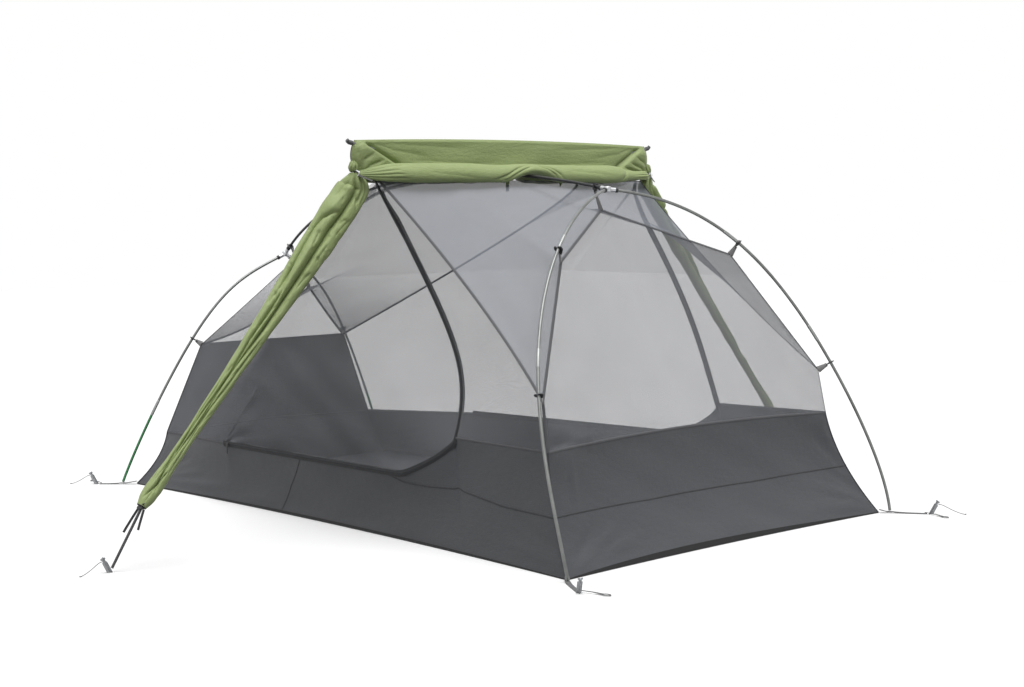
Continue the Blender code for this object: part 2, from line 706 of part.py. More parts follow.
def ridge_line(start, end, steps):
    """Points of the ridge seam, which sags between its middle and its ends, from one y to another."""
    y = np.linspace(start, end, steps + 1)
    drop = RIDGE_DROP * np.sin(math.pi * y / RIDGE_END[1]) ** 2
    return np.stack([np.full_like(y, RIDGE_X), y, RIDGE_HEIGHT - drop], axis=1)


def head_side_seam(steps):
    """Left seam of the roof's head part, from the low hanging point up to the ridge."""
    forward, inward, down = HEAD_SEAM_BOW
    bend = (HEAD_LOW + RIDGE_END) / 2 + 2.0 * np.array((forward, -inward, -down))
    return bezier((HEAD_LOW, bend, RIDGE_END), steps)


def foot_side_seam(steps):
    """Left seam of the roof's foot part, from the hanging point up to the ridge."""
    reach = RIDGE_END[1] - FOOT_SEAM_INSET
    end = ridge_line(reach, reach, 0)[0]
    back, out = FOOT_SEAM_LANDING
    return bezier((FOOT_HIGH, FOOT_HIGH + FOOT_SEAM_RISE, end + (-back, out, 0.0), end), steps)


def gable_edge(steps):
    """Left top edge of the foot gable, from the hanging point up to the peak."""
    forward, out, down = GABLE_EDGE_BOW
    bend = (FOOT_HIGH + FOOT_PEAK) / 2 + 2.0 * np.array((forward, out, -down))
    return bezier((FOOT_HIGH, bend, FOOT_PEAK), steps)


def hinge_ends(side):
    """The two ends of the straight line that a door turns on."""
    return on_wall(DOOR_START, side), mirrored(RIDGE_END - np.array(HINGE_TOP), side)


def add_side_panels(finish):
    """The mesh of each side wall: the fixed parts at the foot and the head, and the door."""
    _, zip_up = door_curve()
    for word, side in SIDES.items():
        hinge_low, hinge_top = hinge_ends(side)
        seam = mirrored(foot_side_seam(16), side)
        left = resample(np.vstack((mirrored(FOOT_TUB, side), seam)), 12)
        bottom = line(left[0], hinge_low, 5)
        grid = coons(bottom, line(left[-1], hinge_top, 5), left, line(hinge_low, hinge_top, 12))
        add_sheet(f"mesh_side_foot_{word}", grid, CLOTH, finish)

        zip_part = on_wall(zip_up, side)
        zip_part[-1] += (zip_part[-2] - zip_part[-1]) * TOP_CUT
        seam = mirrored(head_side_seam(16), side)
        right = resample(np.vstack((mirrored(HEAD_TUB, side), seam)), len(zip_part) - 1)
        grid = coons(line(zip_part[0], right[0], 3), line(zip_part[-1], right[-1], 3), zip_part, right)
        insets = (SEAM_INSET, SEAM_INSET, ZIP_GAP, SEAM_INSET)
        add_sheet(f"mesh_side_head_{word}", grid, CLOTH, finish, insets)

        outline = on_wall(whole_door_curve(), side)
        outline[0, 0] += DOOR_CUT * math.sqrt(2.0)
        outline[-1] += (outline[-2] - outline[-1]) * TOP_CUT
        hinge = resample((hinge_low, hinge_top), len(outline) - 1, DOOR_CUT)
        grid = coons(hinge, outline, line(hinge[0], outline[0], 4), line(hinge[-1], outline[-1], 4))
        insets = (SEAM_INSET, ZIP_GAP, SEAM_INSET, SEAM_INSET)
        add_sheet(f"door_panel_{word}", grid, CLOTH, finish, insets, hinge_low)


def head_seam_line(steps):
    """Seam round the top of the head wall, from right to left."""
    half = (HEAD_LOW, HEAD_HIGH, HEAD_PEAK)
    points = [mirrored(point, -1) for point in half] + [HEAD_HIGH, HEAD_LOW]
    return resample(points, steps)


def add_ends_and_roof(wall_finish, roof_finish):
    """The mesh walls at the head and the foot, and the roof panels between the seams."""
    steps = 16
    left, right = (line(mirrored(HEAD_TUB, side), mirrored(HEAD_LOW, side), 4) for side in (-1, 1))
    grid = coons(head_tub_top(steps), head_seam_line(steps), left, right)
    insets = (SEAM_INSET, SEAM_INSET, 2 * SEAM_INSET, 2 * SEAM_INSET)
    add_sheet("mesh_end_wall_head", grid, CLOTH, wall_finish, insets)

    steps = 10
    edge = gable_edge(30)
    edge = resample(edge, 5, 0.0, along(edge)[-1] - PEAK_CUT)
    sides = [mirrored(edge, side) for side in (-1, 1)]
    low = line(mirrored(FOOT_HIGH, -1), FOOT_HIGH, steps)
    high = line(mirrored(edge[-1], -1), edge[-1], steps)
    grid = coons(low, high, *sides)
    u, v = (np.sin(np.linspace(0.0, math.pi, count)) for count in grid.shape[:2])
    grid[..., 0] += GABLE_BOW * u[:, None] * v[None, :]
    add_sheet("mesh_gable_foot", grid, CLOTH, wall_finish, (SEAM_INSET, 0.0, SEAM_INSET, SEAM_INSET))

    reach = RIDGE_END[1]
    crease = reach - CREASE_WIDTH
    ends = ridge_line(-reach, -crease, 3), ridge_line(crease, reach, 3)
    ridge = np.vstack((ends[0][:-1], ridge_line(-crease, crease, 10), ends[1][1:]))
    half = np.vstack((line(HEAD_PEAK, HEAD_HIGH, 5), line(HEAD_HIGH, HEAD_LOW, 3)[1:]))
    outer = np.vstack((mirrored(half, -1)[::-1], half[1:]))
    seams = [mirrored(head_side_seam(8)[::-1], side) for side in (-1, 1)]
    add_sheet("roof_head", coons(ridge, outer, *seams), CLOTH, roof_finish)

    reach = RIDGE_END[1] - FOOT_SEAM_INSET
    steps = 12
    edge = gable_edge(steps // 2)
    foot = np.vstack((mirrored(edge, -1), edge[-2::-1]))
    seam = resample(foot_side_seam(40)[::-1], 8)
    seams = [mirrored(seam, side) for side in (-1, 1)]
    grid = coons(ridge_line(-reach, reach, steps), foot, *seams, fading=ROOF_CREASE_FADING)
    add_sheet("roof_foot", grid, CLOTH, roof_finish)


def add_zips(finish):
    """The zip round each door, and the slider on its straight run."""
    for word, side in SIDES.items():
        curve = whole_door_curve()
        curve[0, 0] += ZIP_GAP * 2
        curve[-1] += (curve[-2] - curve[-1]) * ZIP_TOP_CUT
        centre = on_wall(curve, side)
        tangents = np.gradient(centre, axis=0)
        tangents /= np.linalg.norm(tangents, axis=1, keepdims=True)
        outward = np.tile(np.array((0.0, side, 0.0)), (len(centre), 1))
        across = np.cross(tangents, outward)
        across /= np.linalg.norm(across, axis=1, keepdims=True)
        grid = np.stack([centre + across * share * ZIP_WIDTH / 2 for share in (-1.0, 1.0)], axis=1)
        add_sheet(f"door_zip_{word}", grid, ZIP_THICKNESS, finish, (0.0,) * 4)

        start = on_wall(np.array((DOOR_FOOT_X + SLIDER_START, DOOR_SILL)), side)
        base = start + np.array((0.0, side * (ZIP_THICKNESS / 2 + TOUCH_GAP + SLIDER_CLEAR), 0.0))
        outline = (
            (-SLIDER_LENGTH / 2, -SLIDER_WIDTH / 4),
            (-SLIDER_LENGTH / 4, -SLIDER_WIDTH / 2),
            (SLIDER_LENGTH / 2, -SLIDER_WIDTH / 2),
            (SLIDER_LENGTH / 2, SLIDER_WIDTH / 2),
            (-SLIDER_LENGTH / 4, SLIDER_WIDTH / 2),
            (-SLIDER_LENGTH / 2, SLIDER_WIDTH / 4),
        )
        inner = [base + np.array((x, 0.0, z)) for x, z in outline]
        shorter, narrower = SLIDER_TOP
        outer = [base + np.array((x * shorter, side * SLIDER_HEIGHT, z * narrower)) for x, z in outline]
        slider = add_object(f"zip_slider_{word}", *skin_rings([inner, outer]), finish, start, smooth=False)

        half, low = PULL_WIDTH / 2, SLIDER_HEIGHT * PULL_TOP
        tip = half * PULL_TAPER
        profile = ((-half, 0.0), (half, 0.0), (tip, -PULL_LENGTH), (-tip, -PULL_LENGTH))
        pull = [
            [base + np.array((x, side * (low + thick), z)) for x, z in profile]
            for thick in (0.0, PULL_THICKNESS)
        ]
        combine(slider, add_object("pull", *skin_rings(pull), finish, start, smooth=False), "UNION")


# Pole frame

def add_poles(grey, green):
    """The ridge and spine poles and the four legs, with green lower sections at the foot."""
    seat = ARM_LENGTH - SOCKET_DEPTH + TOUCH_GAP
    spine = trimmed(spine_line(), seat)
    add_tube("spine_pole", trimmed(spine[::-1], seat), POLE_RADIUS, grey)
    add_tube("ridge_pole", resample(ridge_pole_line(), 16), POLE_RADIUS, grey)
    for word, side in SIDES.items():
        add_tube(f"head_leg_{word}", trimmed(head_leg_line(side), seat), POLE_RADIUS, grey)
        upper, lower = foot_leg_lines(side)
        add_tube(f"foot_leg_{word}", trimmed(upper, seat), POLE_RADIUS, grey)
        add_tube(f"foot_leg_tip_{word}", trimmed(lower, TOUCH_GAP), POLE_RADIUS, green)


def cylinder_between(name, a, b, radius, sides=12):
    """A scratch cylinder for Booleans, from a to b."""
    axis = Vector(np.asarray(b) - np.asarray(a))
    body = bmesh.new()
    bmesh.ops.create_cone(
        body, cap_ends=True, segments=sides, radius1=radius, radius2=radius, depth=axis.length
    )
    mesh = bpy.data.meshes.new(name)
    body.to_mesh(mesh)
    body.free()
    made = bpy.data.objects.new(name, mesh)
    made.rotation_mode = "QUATERNION"
    made.rotation_quaternion = axis.to_track_quat("Z", "Y")
    made.location = Vector(np.asarray(a)) + axis / 2
    bpy.context.collection.objects.link(made)
    return made


def combine(base, other, operation):
    """Applies an exact Boolean to base and deletes the other object."""
    modifier = base.modifiers.new(operation, "BOOLEAN")
    modifier.object = other
    modifier.operation = operation
    modifier.solver = "EXACT"
    graph = bpy.context.evaluated_depsgraph_get()
    result = bpy.data.meshes.new_from_object(base.evaluated_get(graph))
    base.modifiers.clear()
    base.data = result
    bpy.data.objects.remove(other, do_unlink=True)


def add_hub(name, centre, lines, finish):
    """A swivel hub: a round middle with an arm and a socket for each pole."""
    low = centre - np.array((0.0, 0.0, HUB_HEIGHT / 2))
    high = centre + np.array((0.0, 0.0, HUB_HEIGHT / 2))
    hub = cylinder_between(name, low, high, HUB_RADIUS, 16)
    bores = []
    for number, path in enumerate(lines):
        direction = (path[1] - path[0]) / np.linalg.norm(path[1] - path[0])
        seat = centre + direction * (ARM_LENGTH - SOCKET_DEPTH)
        tip = centre + direction * ARM_LENGTH
        combine(hub, cylinder_between(f"arm_{number}", centre, tip, ARM_RADIUS), "UNION")
        bores.append((seat, tip + direction * BORE_OVERSHOOT))
    for number, (seat, tip) in enumerate(bores):
        bore = cylinder_between(f"bore_{number}", seat, tip, POLE_RADIUS + SOCKET_GAP)
        combine(hub, bore, "DIFFERENCE")
    hub.data.materials.clear()
    hub.data.materials.append(finish)
    hub.data.shade_smooth()
    hub.data.set_sharp_from_angle(angle=math.radians(40))
    return hub


def nearest_on(path, point):
    """The point of a path nearest to a point, and the path's direction there."""
    steps = np.diff(path, axis=0)
    lengths = np.linalg.norm(steps, axis=1)
    directions = steps / lengths[:, None]
    reach = np.sum((point - path[:-1]) * directions, axis=1)
    reach = np.clip(reach, CLIP_WIDTH / 2, lengths - CLIP_WIDTH / 2)
    places = path[:-1] + directions * reach[:, None]
    index = int(np.argmin(np.linalg.norm(places - point, axis=1)))
    return places[index], directions[index]


def add_clip(name, path, hang, finish, at=None):
    """A snap clip round a pole, with a tapered strap down to the cloth at hang."""
    centre, axis = nearest_on(path, hang if at is None else at)
    reach = hang - centre
    reach = reach - axis * np.dot(reach, axis)
    down = reach / np.linalg.norm(reach)
    across = np.cross(axis, down)
    inner = POLE_RADIUS + SOCKET_GAP
    outer = inner + CLIP_WALL
    turn = np.linspace(math.pi - CLIP_OPENING, CLIP_OPENING - math.pi, 13)
    bore = [(inner * math.cos(a), inner * math.sin(a)) for a in turn]
    neck = CLIP_NECK / 2
    meet = math.asin(neck / outer)
    near_side = np.linspace(CLIP_OPENING - math.pi, -meet, 5)
    far_side = np.linspace(meet, math.pi - CLIP_OPENING, 5)
    shell = [(outer * math.cos(a), outer * math.sin(a)) for a in near_side]
    reach_out = outer + CLIP_NECK_LENGTH
    shell += [(reach_out, -neck), (reach_out, neck)]
    shell += [(outer * math.cos(a), outer * math.sin(a)) for a in far_side]
    outline = bore + shell
    rings = []
    for shift in (-CLIP_WIDTH / 2, CLIP_WIDTH / 2):
        rings.append([centre + axis * shift + down * a + across * b for a, b in outline])
    vertices, faces = skin_rings(rings)
    vertices = list(vertices)
    count = len(outline)
    first = len(bore) + 5
    strap_face = [first, first + 1, first + 1 + count, first + count]
    faces = [face for face in faces if sorted(face) != sorted(strap_face)]
    start = centre + down * reach_out
    length = np.linalg.norm(hang - start)
    aim = (hang - start) / length
    end = start + aim * (length - STRAP_END_GAP)
    stops = ((start + aim * STRAP_SHOULDER, CLIP_WIDTH * 0.8), (end, STRAP_WIDTH))
    previous = strap_face
    for place, width in stops:
        base = len(vertices)
        thick = across * STRAP_THICKNESS / 2
        wide = axis * width / 2
        vertices += [place - thick - wide, place + thick - wide, place + thick + wide, place - thick + wide]
        ring = [base, base + 1, base + 2, base + 3]
        for k in range(4):
            m = (k + 1) % 4
            faces.append([previous[k], previous[m], ring[m], ring[k]])
        previous = ring
    faces.append(previous[::-1])
    return add_object(name, vertices, faces, finish)


def add_saddle(finish):
    """The block that holds the ridge pole on top of the spine pole."""
    low = spine_height(RIDGE_POLE_X) + POLE_RADIUS + SADDLE_GAP
    high = low + SADDLE_FLOOR
    cheek = POLE_RADIUS + SADDLE_GAP
    wall = SADDLE_FLOOR
    outline = (
        (-cheek - wall, low - SADDLE_CHEEK),
        (-cheek, low - SADDLE_CHEEK),
        (-cheek, low),
        (cheek, low),
        (cheek, low - SADDLE_CHEEK),
        (cheek + wall, low - SADDLE_CHEEK),
        (cheek + wall, high),
        (-cheek - wall, high),
    )
    half = SADDLE_LENGTH / 2
    rings = [[np.array((RIDGE_POLE_X + x, y, z)) for y, z in outline] for x in (-half, half)]
    return add_object("ridge_saddle", *skin_rings(rings), finish)


# Fly

def add_fly_band(finish):
    """The fly's middle, stretched between the ridge pole's ends and hanging to both rolls."""
    steps = 28
    y = np.linspace(-FLY_SPAN / 2, FLY_SPAN / 2, steps + 1)
    across = [(-x, drop) for x, drop in BAND_PROFILE] + [(x, drop) for x, drop in reversed(BAND_PROFILE)]
    grid = np.zeros((len(across), len(y), 3))
    for i, (x, drop) in enumerate(across):
        fold = BAND_FOLD * math.sin(3.0 * math.pi * drop) * np.sin(2 * math.pi * y / BAND_FOLD_LENGTH)
        closing = BAND_CLOSING * drop * np.abs(y / (FLY_SPAN / 2)) ** FLY_END_POWER
        spread = BAND_SPREAD * (1 - closing)
        grid[i, :, 0] = RIDGE_POLE_X + x * spread + np.sign(x) * fold
        grid[i, :, 1] = y
        grid[i, :, 2] = fly_top() - drop * BAND_DROP - BAND_DROOP * (y / (FLY_SPAN / 2)) ** 2
    return add_sheet("fly_band", grid, FLY_CLOTH, finish, (0.0,) * 4)


def add_fly_rolls(finish):
    """The two ends of the fly, rolled up to the ridge: one roll on each side of it."""
    steps, around = 28, 12
    for word, end in (("head", 1.0), ("foot", -1.0)):
        rings = []
        for y in np.linspace(-ROLL_SPAN / 2, ROLL_SPAN / 2, steps + 1):
            lift = max(0.0, math.cos(math.pi / 2 * min(1.0, abs(y) / ROLL_ARCH_HALF))) ** 1.5
            ending = (abs(y) / (ROLL_SPAN / 2)) ** FLY_END_POWER
            radius = ROLL_RADIUS * (1.0 - ROLL_TAPER * ending) * (1.0 - ROLL_PINCH * lift)
            offset = ROLL_OFFSET * (1.0 - ROLL_CLOSING * ending)
            centre = (RIDGE_POLE_X + end * offset, fly_top() - ROLL_DROP + ROLL_ARCH * lift)
            ring = []
            for k in range(around):
                angle = 2 * math.pi * k / around
                crease = math.exp(-8 * (angle - ROLL_CREASE_ANGLE) ** 2)
                fold = 1.0 + ROLL_FOLD * math.cos(3 * angle + 5.0 * y) - ROLL_CREASE * crease
                height = radius * fold * math.sin(angle)
                ring.append((centre[0] + end * radius * fold * math.cos(angle), y, centre[1] + height))
            rings.append(ring)
        add_object(f"fly_roll_{word}", *skin_rings(rings), finish)


def strip_line(side, steps):
    """Centre line of a bunched door panel of the fly, from the ridge's end to its stake strap."""
    half = RIDGE_SPAN / 2
    top = np.array((RIDGE_POLE_X, side * (half + STRIP_TOP_OUT), fly_top() - STRIP_TOP_DROP))
    end = np.array((RIDGE_POLE_X - STRIP_LEAN, side * (half + STRIP_END_OUT), STRIP_END_HEIGHT))
    t = np.linspace(0.0, 1.0, steps + 1)[:, None]
    return top + (end - top) * t - 4 * t * (1 - t) * np.array((0.0, 0.0, STRIP_SAG))


def add_fly_strips(finish):
    """The fly's two door panels, bunched into long folded strips."""
    steps, around = 26, 24
    stops, shares = zip(*STRIP_WIDTHS)
    for word, side in SIDES.items():
        path = strip_line(side, steps)
        tangents, _, _ = frames_along(path)
        first = np.tile(np.array((1.0, 0.0, 0.0)), (len(path), 1))
        second = np.cross(first, tangents) * side
        rings = []
        for i, place in enumerate(path):
            t = i / steps
            share = float(np.interp(t, stops, shares))
            wide = STRIP_HALF_WIDTH * share
            deep = STRIP_HALF_DEPTH * (STRIP_LEAST_DEPTH + (1 - STRIP_LEAST_DEPTH) * share)
            ring = []
            for k in range(around):
                angle = 2 * math.pi * k / around
                crease = 0.0
                for number, depth, twist in STRIP_CREASES:
                    crease += depth * math.cos(number * angle + twist * t)
                a = wide * math.cos(angle) * (1 + STRIP_CREASE_ACROSS * crease)
                b = deep * math.sin(angle) * (1 + crease)
                x = b * math.sin(STRIP_TILT) - a * math.cos(STRIP_TILT)
                z = a * math.sin(STRIP_TILT) + b * math.cos(STRIP_TILT)
                ring.append(place + first[i] * x + second[i] * z)
            rings.append(ring)
        add_object(f"fly_strip_{word}", *skin_rings(rings), finish)


# Stakes, webbing and cords

def stake_places():
    """Each stake's name, its foot on the ground and the way it leans."""
    places = {}
    for word, side in SIDES.items():
        head = head_place(*HEAD_STAKE, 0.0, side)
        foot = foot_place(*FOOT_STAKE, 0.0, side)
        end = strip_line(side, 1)[-1]
        out = side * (RIDGE_SPAN / 2 + VESTIBULE_STAKE_OUT)
        vestibule = np.array((end[0] - VESTIBULE_STAKE_BACK, out, 0.0))
        places[f"head_{word}"] = (head, head - head_place(0.0, 0.0, 0.0, side))
        places[f"foot_{word}"] = (foot, foot - foot_place(0.0, 0.0, 0.0, side))
        places[f"vestibule_{word}"] = (vestibule, np.array((0.0, side, 0.0)))
    return places


def stake_frame(lean):
    """Unit vectors up a stake that leans this way, out of its front blade, and level outward."""
    outward = np.array((lean[0], lean[1], 0.0))
    outward = outward / np.linalg.norm(outward)
    upward = np.array((0.0, 0.0, 1.0))
    axis = outward * math.sin(STAKE_TILT) + upward * math.cos(STAKE_TILT)
    front = outward * math.cos(STAKE_TILT) - upward * math.sin(STAKE_TILT)
    return axis, front, outward


def stake_outline():
    """Section of a three-bladed stake."""
    points = []
    for blade in range(3):
        angle = 2 * math.pi * blade / 3
        out = np.array((math.cos(angle), math.sin(angle)))
        side = np.array((-out[1], out[0]))
        notch = STAKE_WEB * 0.5 / math.sin(math.pi / 3)
        points.append(out * STAKE_BLADE - side * STAKE_WEB / 2)
        points.append(out * STAKE_BLADE + side * STAKE_WEB / 2)
        middle = angle + math.pi / 3
        points.append(np.array((math.cos(middle), math.sin(middle))) * notch)
    return points


def add_stakes(finish):
    """The part of each stake that stands above the ground."""
    for word, (foot, lean) in stake_places().items():
        axis, front, _ = stake_frame(lean)
        across = np.cross(axis, front)
        rings = []
        for share, size in STAKE_SECTIONS:
            ring = []
            for a, b in stake_outline():
                point = foot + axis * STAKE_HEIGHT * share + (front * a + across * b) * size
                if share == 0.0:
                    point = point - axis * point[2] / axis[2]
                ring.append(point)
            rings.append(ring)
        add_object(f"stake_{word}", *skin_rings(rings), finish, foot, smooth=False)


def add_corner_webbing(finish):
    """The strap from each corner of the tub, under its pole's tip and on to the stake."""
    gap = STAKE_BLADE + STAKE_CLEAR
    for end, places in (("head", head_place), ("foot", foot_place)):
        tip_inset = HEAD_LEG_FOOT if end == "head" else FOOT_LEG_FOOT
        stake_inset = HEAD_STAKE if end == "head" else FOOT_STAKE
        for word, side in SIDES.items():
            corner = places(0.0, 0.0, 0.0, side)
            tip = places(*tip_inset, 0.0, side)
            stake = places(*stake_inset, 0.0, side)
            away = (stake - corner) / np.linalg.norm(stake - corner)
            start = corner + away * (CLOTH + SEAM_INSET)
            lying = WEBBING_THICKNESS / 2 + WEBBING_REST
            tip_height = POLE_TIP_HEIGHT - POLE_TIP_SLANT - TOUCH_GAP - WEBBING_THICKNESS / 2
            route = [
                start + (0, 0, WEBBING_START),
                (start + tip) / 2 + (0, 0, WEBBING_RAMP),
                tip - away * GROMMET_RADIUS + (0, 0, tip_height),
                tip + away * GROMMET_RADIUS + (0, 0, tip_height),
                tip + away * GROMMET_RADIUS * WEBBING_DOWN + (0, 0, lying),
                stake - away * gap * 2 + (0, 0, lying),
                stake - away * gap + (0, 0, lying),
            ]
            outline = rectangle(WEBBING_WIDTH, WEBBING_THICKNESS)
            add_swept(f"corner_webbing_{end}_{word}", route, outline, finish)


def add_vestibule_webbing(finish):
    """The strap from each bunched door panel down to its stake."""
    for word, side in SIDES.items():
        end = strip_line(side, 40)
        direction = (end[-1] - end[-2]) / np.linalg.norm(end[-1] - end[-2])
        start = end[-1] + direction * STRIP_STRAP_GAP
        foot, _ = stake_places()[f"vestibule_{word}"]
        aim = foot - start
        aim = aim / np.linalg.norm(aim)
        stop = foot - aim * (STAKE_BLADE + 2 * STAKE_CLEAR)
        stop[2] = max(stop[2], WEBBING_THICKNESS)
        up = (1.0, 0.0, 0.0)
        outline = rectangle(WEBBING_THICKNESS, WEBBING_WIDTH)
        add_swept(f"vestibule_webbing_{word}", line(start, stop, 3), outline, finish, up)


def add_stake_cords(finish):
    """The thin pull cords tied to three of the stakes.

    Each has its reach level with the ground and how much further its end lies.
    """
    for word, reach, further in (
        ("foot_right", 0.035, 0.033),
        ("head_left", 0.045, 0.036),
        ("vestibule_right", 0.035, 0.030),
    ):
        foot, lean = stake_places()[word]
        axis, front, outward = stake_frame(lean)
        clear = STAKE_BLADE * STAKE_NOTCH + CORD_RADIUS + TOUCH_GAP
        top = foot + axis * STAKE_HEIGHT * CORD_HEIGHT + front * clear
        middle = top + outward * reach * 0.5
        middle[2] = top[2] * CORD_MIDDLE
        low = top + outward * (reach + CORD_LANDING)
        low[2] = CORD_RADIUS * 3
        end = top + outward * (reach + further)
        end[2] = CORD_RADIUS + WEBBING_REST
        route = bezier((top, top + outward * reach * CORD_BEND, middle, low, end), 20)
        add_tube(f"stake_cord_{word}", route, CORD_RADIUS, finish)


def build():
    """Makes every piece of the tent."""
    remove_at_start()
    dark = material("dark_cloth", DARK_CLOTH, 0.7)
    mesh = material("mesh_cloth", MESH_CLOTH, 0.85)
    roof = material("roof_cloth", ROOF_CLOTH, 0.75)
    green = material("green_cloth", GREEN_CLOTH, 0.55)
    zip_black = material("zip_black", ZIP_BLACK, 0.5)
    grey = material("pole_grey", POLE_GREY, 0.35, 0.6)
    pole_green = material("pole_green", POLE_GREEN, 0.35, 0.6)
    silver = material("hub_silver", SILVER, 0.3, 0.9)
    black = material("clip_black", CLIP_BLACK, 0.45)
    webbing = material("webbing_grey", WEBBING_GREY, 0.8)
    stake = material("stake_grey", STAKE_GREY, 0.35, 0.8)

    add_floor(dark)
    add_tub_walls(dark)
    add_side_panels(mesh)
    add_ends_and_roof(mesh, roof)
    add_zips(zip_black)
    add_poles(grey, pole_green)
    spine = spine_line()
    add_hub("head_hub", head_hub_point(), (spine[::-1], head_leg_line(-1), head_leg_line(1)), silver)
    add_hub("foot_hub", foot_hub_point(), (spine, foot_leg_lines(-1)[0], foot_leg_lines(1)[0]), silver)
    add_saddle(black)
    for word, side in SIDES.items():
        head_leg, foot_leg = head_leg_line(side), foot_leg_lines(side)[0]
        add_clip(f"head_high_clip_{word}", head_leg, mirrored(HEAD_HIGH, side), black)
        add_clip(f"head_low_clip_{word}", head_leg, mirrored(HEAD_LOW, side), black)
        add_clip(f"foot_clip_{word}", foot_leg, mirrored(FOOT_HIGH, side), black)
    add_clip("head_peak_clip", spine, HEAD_PEAK, black, at=head_hub_point() + HEAD_PEAK_CLIP)
    add_clip("foot_peak_clip", spine, FOOT_PEAK, black, at=foot_hub_point() + FOOT_PEAK_CLIP)
    add_fly_band(green)
    add_fly_rolls(green)
    add_fly_strips(green)
    add_stakes(stake)
    add_corner_webbing(webbing)
    add_vestibule_webbing(webbing)
    add_stake_cords(webbing)


build()
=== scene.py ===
"""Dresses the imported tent: cloth, netting, zips, seams, fly, poles, straps and cords.

Units are metres. +Z is up, +X points to the wide head end and -Y is the right side, as in the
part. Most pieces are made once for each side.
"""

import json
import math

import bpy
import numpy as np
from mathutils import Matrix, Vector

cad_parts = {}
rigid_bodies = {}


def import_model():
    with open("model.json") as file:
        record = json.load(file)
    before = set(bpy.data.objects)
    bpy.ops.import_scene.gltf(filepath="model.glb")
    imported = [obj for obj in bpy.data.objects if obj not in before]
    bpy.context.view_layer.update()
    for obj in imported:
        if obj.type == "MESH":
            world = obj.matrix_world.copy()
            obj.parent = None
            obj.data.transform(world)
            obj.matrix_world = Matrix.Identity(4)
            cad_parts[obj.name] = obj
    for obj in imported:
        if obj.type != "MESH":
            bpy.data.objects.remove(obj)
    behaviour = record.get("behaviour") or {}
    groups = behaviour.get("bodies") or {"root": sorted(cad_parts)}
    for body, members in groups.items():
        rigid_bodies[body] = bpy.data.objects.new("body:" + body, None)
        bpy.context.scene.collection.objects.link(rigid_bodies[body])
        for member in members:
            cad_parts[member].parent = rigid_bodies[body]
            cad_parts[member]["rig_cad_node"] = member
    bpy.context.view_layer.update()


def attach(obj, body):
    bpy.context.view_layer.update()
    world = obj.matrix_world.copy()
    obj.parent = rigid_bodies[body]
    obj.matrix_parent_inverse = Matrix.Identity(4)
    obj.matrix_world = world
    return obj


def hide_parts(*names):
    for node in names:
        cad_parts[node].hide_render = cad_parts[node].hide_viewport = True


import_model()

SIDES = {"right": -1.0, "left": 1.0}
ROOT = "tent"
UP = np.array((0.0, 0.0, 1.0))

# Camera, at the photograph's viewing angle
CAMERA_PLACE = (4.202, -3.914, 0.946)
CAMERA_YAW = math.radians(45.7)
CAMERA_PITCH = math.radians(4.46)
CAMERA_ROLL = math.radians(-0.46)
CAMERA_FOCAL_SHARE = 1823.1 / 1024  # focal length over the picture's width
SENSOR_WIDTH = 36.0

# The part's fixed points, on the left side
HALF_LENGTH = 1.075
HALF_HEAD = 0.677
HALF_FOOT = 0.545
FLOOR_BOW = 0.035
END_BOW = 0.02
HEAD_TOP_BOW = np.array((-0.03, 0.0, 0.012))  # of the head tub wall's top edge
GROUND = 0.003  # height of the walls' lower edge at the corners
SIDE_LIFT = 0.007  # of the walls' lower edges between the corners
HEAD_LIFT = 0.015
FOOT_LIFT = 0.006
LIFT_LEAN = 0.5  # of an end's lift toward the right side, as a share of it
HEAD_BULGE = np.array((-0.022, -0.010, 0.0))
FOOT_BULGE = np.array((0.012, -0.014, 0.0))
HEAD_TUB = np.array((0.935, 0.600, 0.30))
HEAD_LOW = np.array((0.911, 0.593, 0.43))
HEAD_HIGH = np.array((0.756, 0.363, 0.782))
HEAD_PEAK = np.array((0.568, 0.0, 0.919))
FOOT_TUB = np.array((-1.042, 0.443, 0.170))
FOOT_HIGH = np.array((-1.017, 0.312, 0.465))
FOOT_PEAK = np.array((-0.815, 0.0, 0.655))
HEAD_HUB = np.array((0.593, 0.0, 0.979))
FOOT_HUB = np.array((-0.947, 0.0, 0.768))
RIDGE_X = 0.225
RIDGE_HALF = 0.5565
RIDGE_DROP = 0.006
RIDGE_HANG = 0.032
HEAD_SEAM_BOW = np.array((0.022, -0.034, -0.021))
FOOT_SEAM_RISE = np.array((1.237, 0.183, 0.564))
FOOT_SEAM_LANDING = np.array((-0.214, 0.195, 0.0))
FOOT_SEAM_INSET = 0.298
GABLE_EDGE_BOW = np.array((0.012, 0.007, -0.023))
HINGE_TOP = np.array((0.04, 0.02, 0.04))

# Door outline, as (x, height)
DOOR_START = np.array((-0.57, 0.185))
DOOR_CORNER = (0.34, 0.185)
DOOR_BELLY = (0.544, 0.291)
DOOR_CORNER_PULL = (0.040, 0.030)
DOOR_RISE_PULL = 0.211
DOOR_TOP_PULL = (0.262, 0.360)
DOOR_TOP_DROP = 0.033
DOOR_TOP_SHIFT = -0.018
SILL_INSETS = (0.031, 0.035)
WALL_BOW = 0.062
WALL_BOW_REACH = 0.11
WALL_BOW_END = 0.30
WALL_TOP_INSET = 0.0215

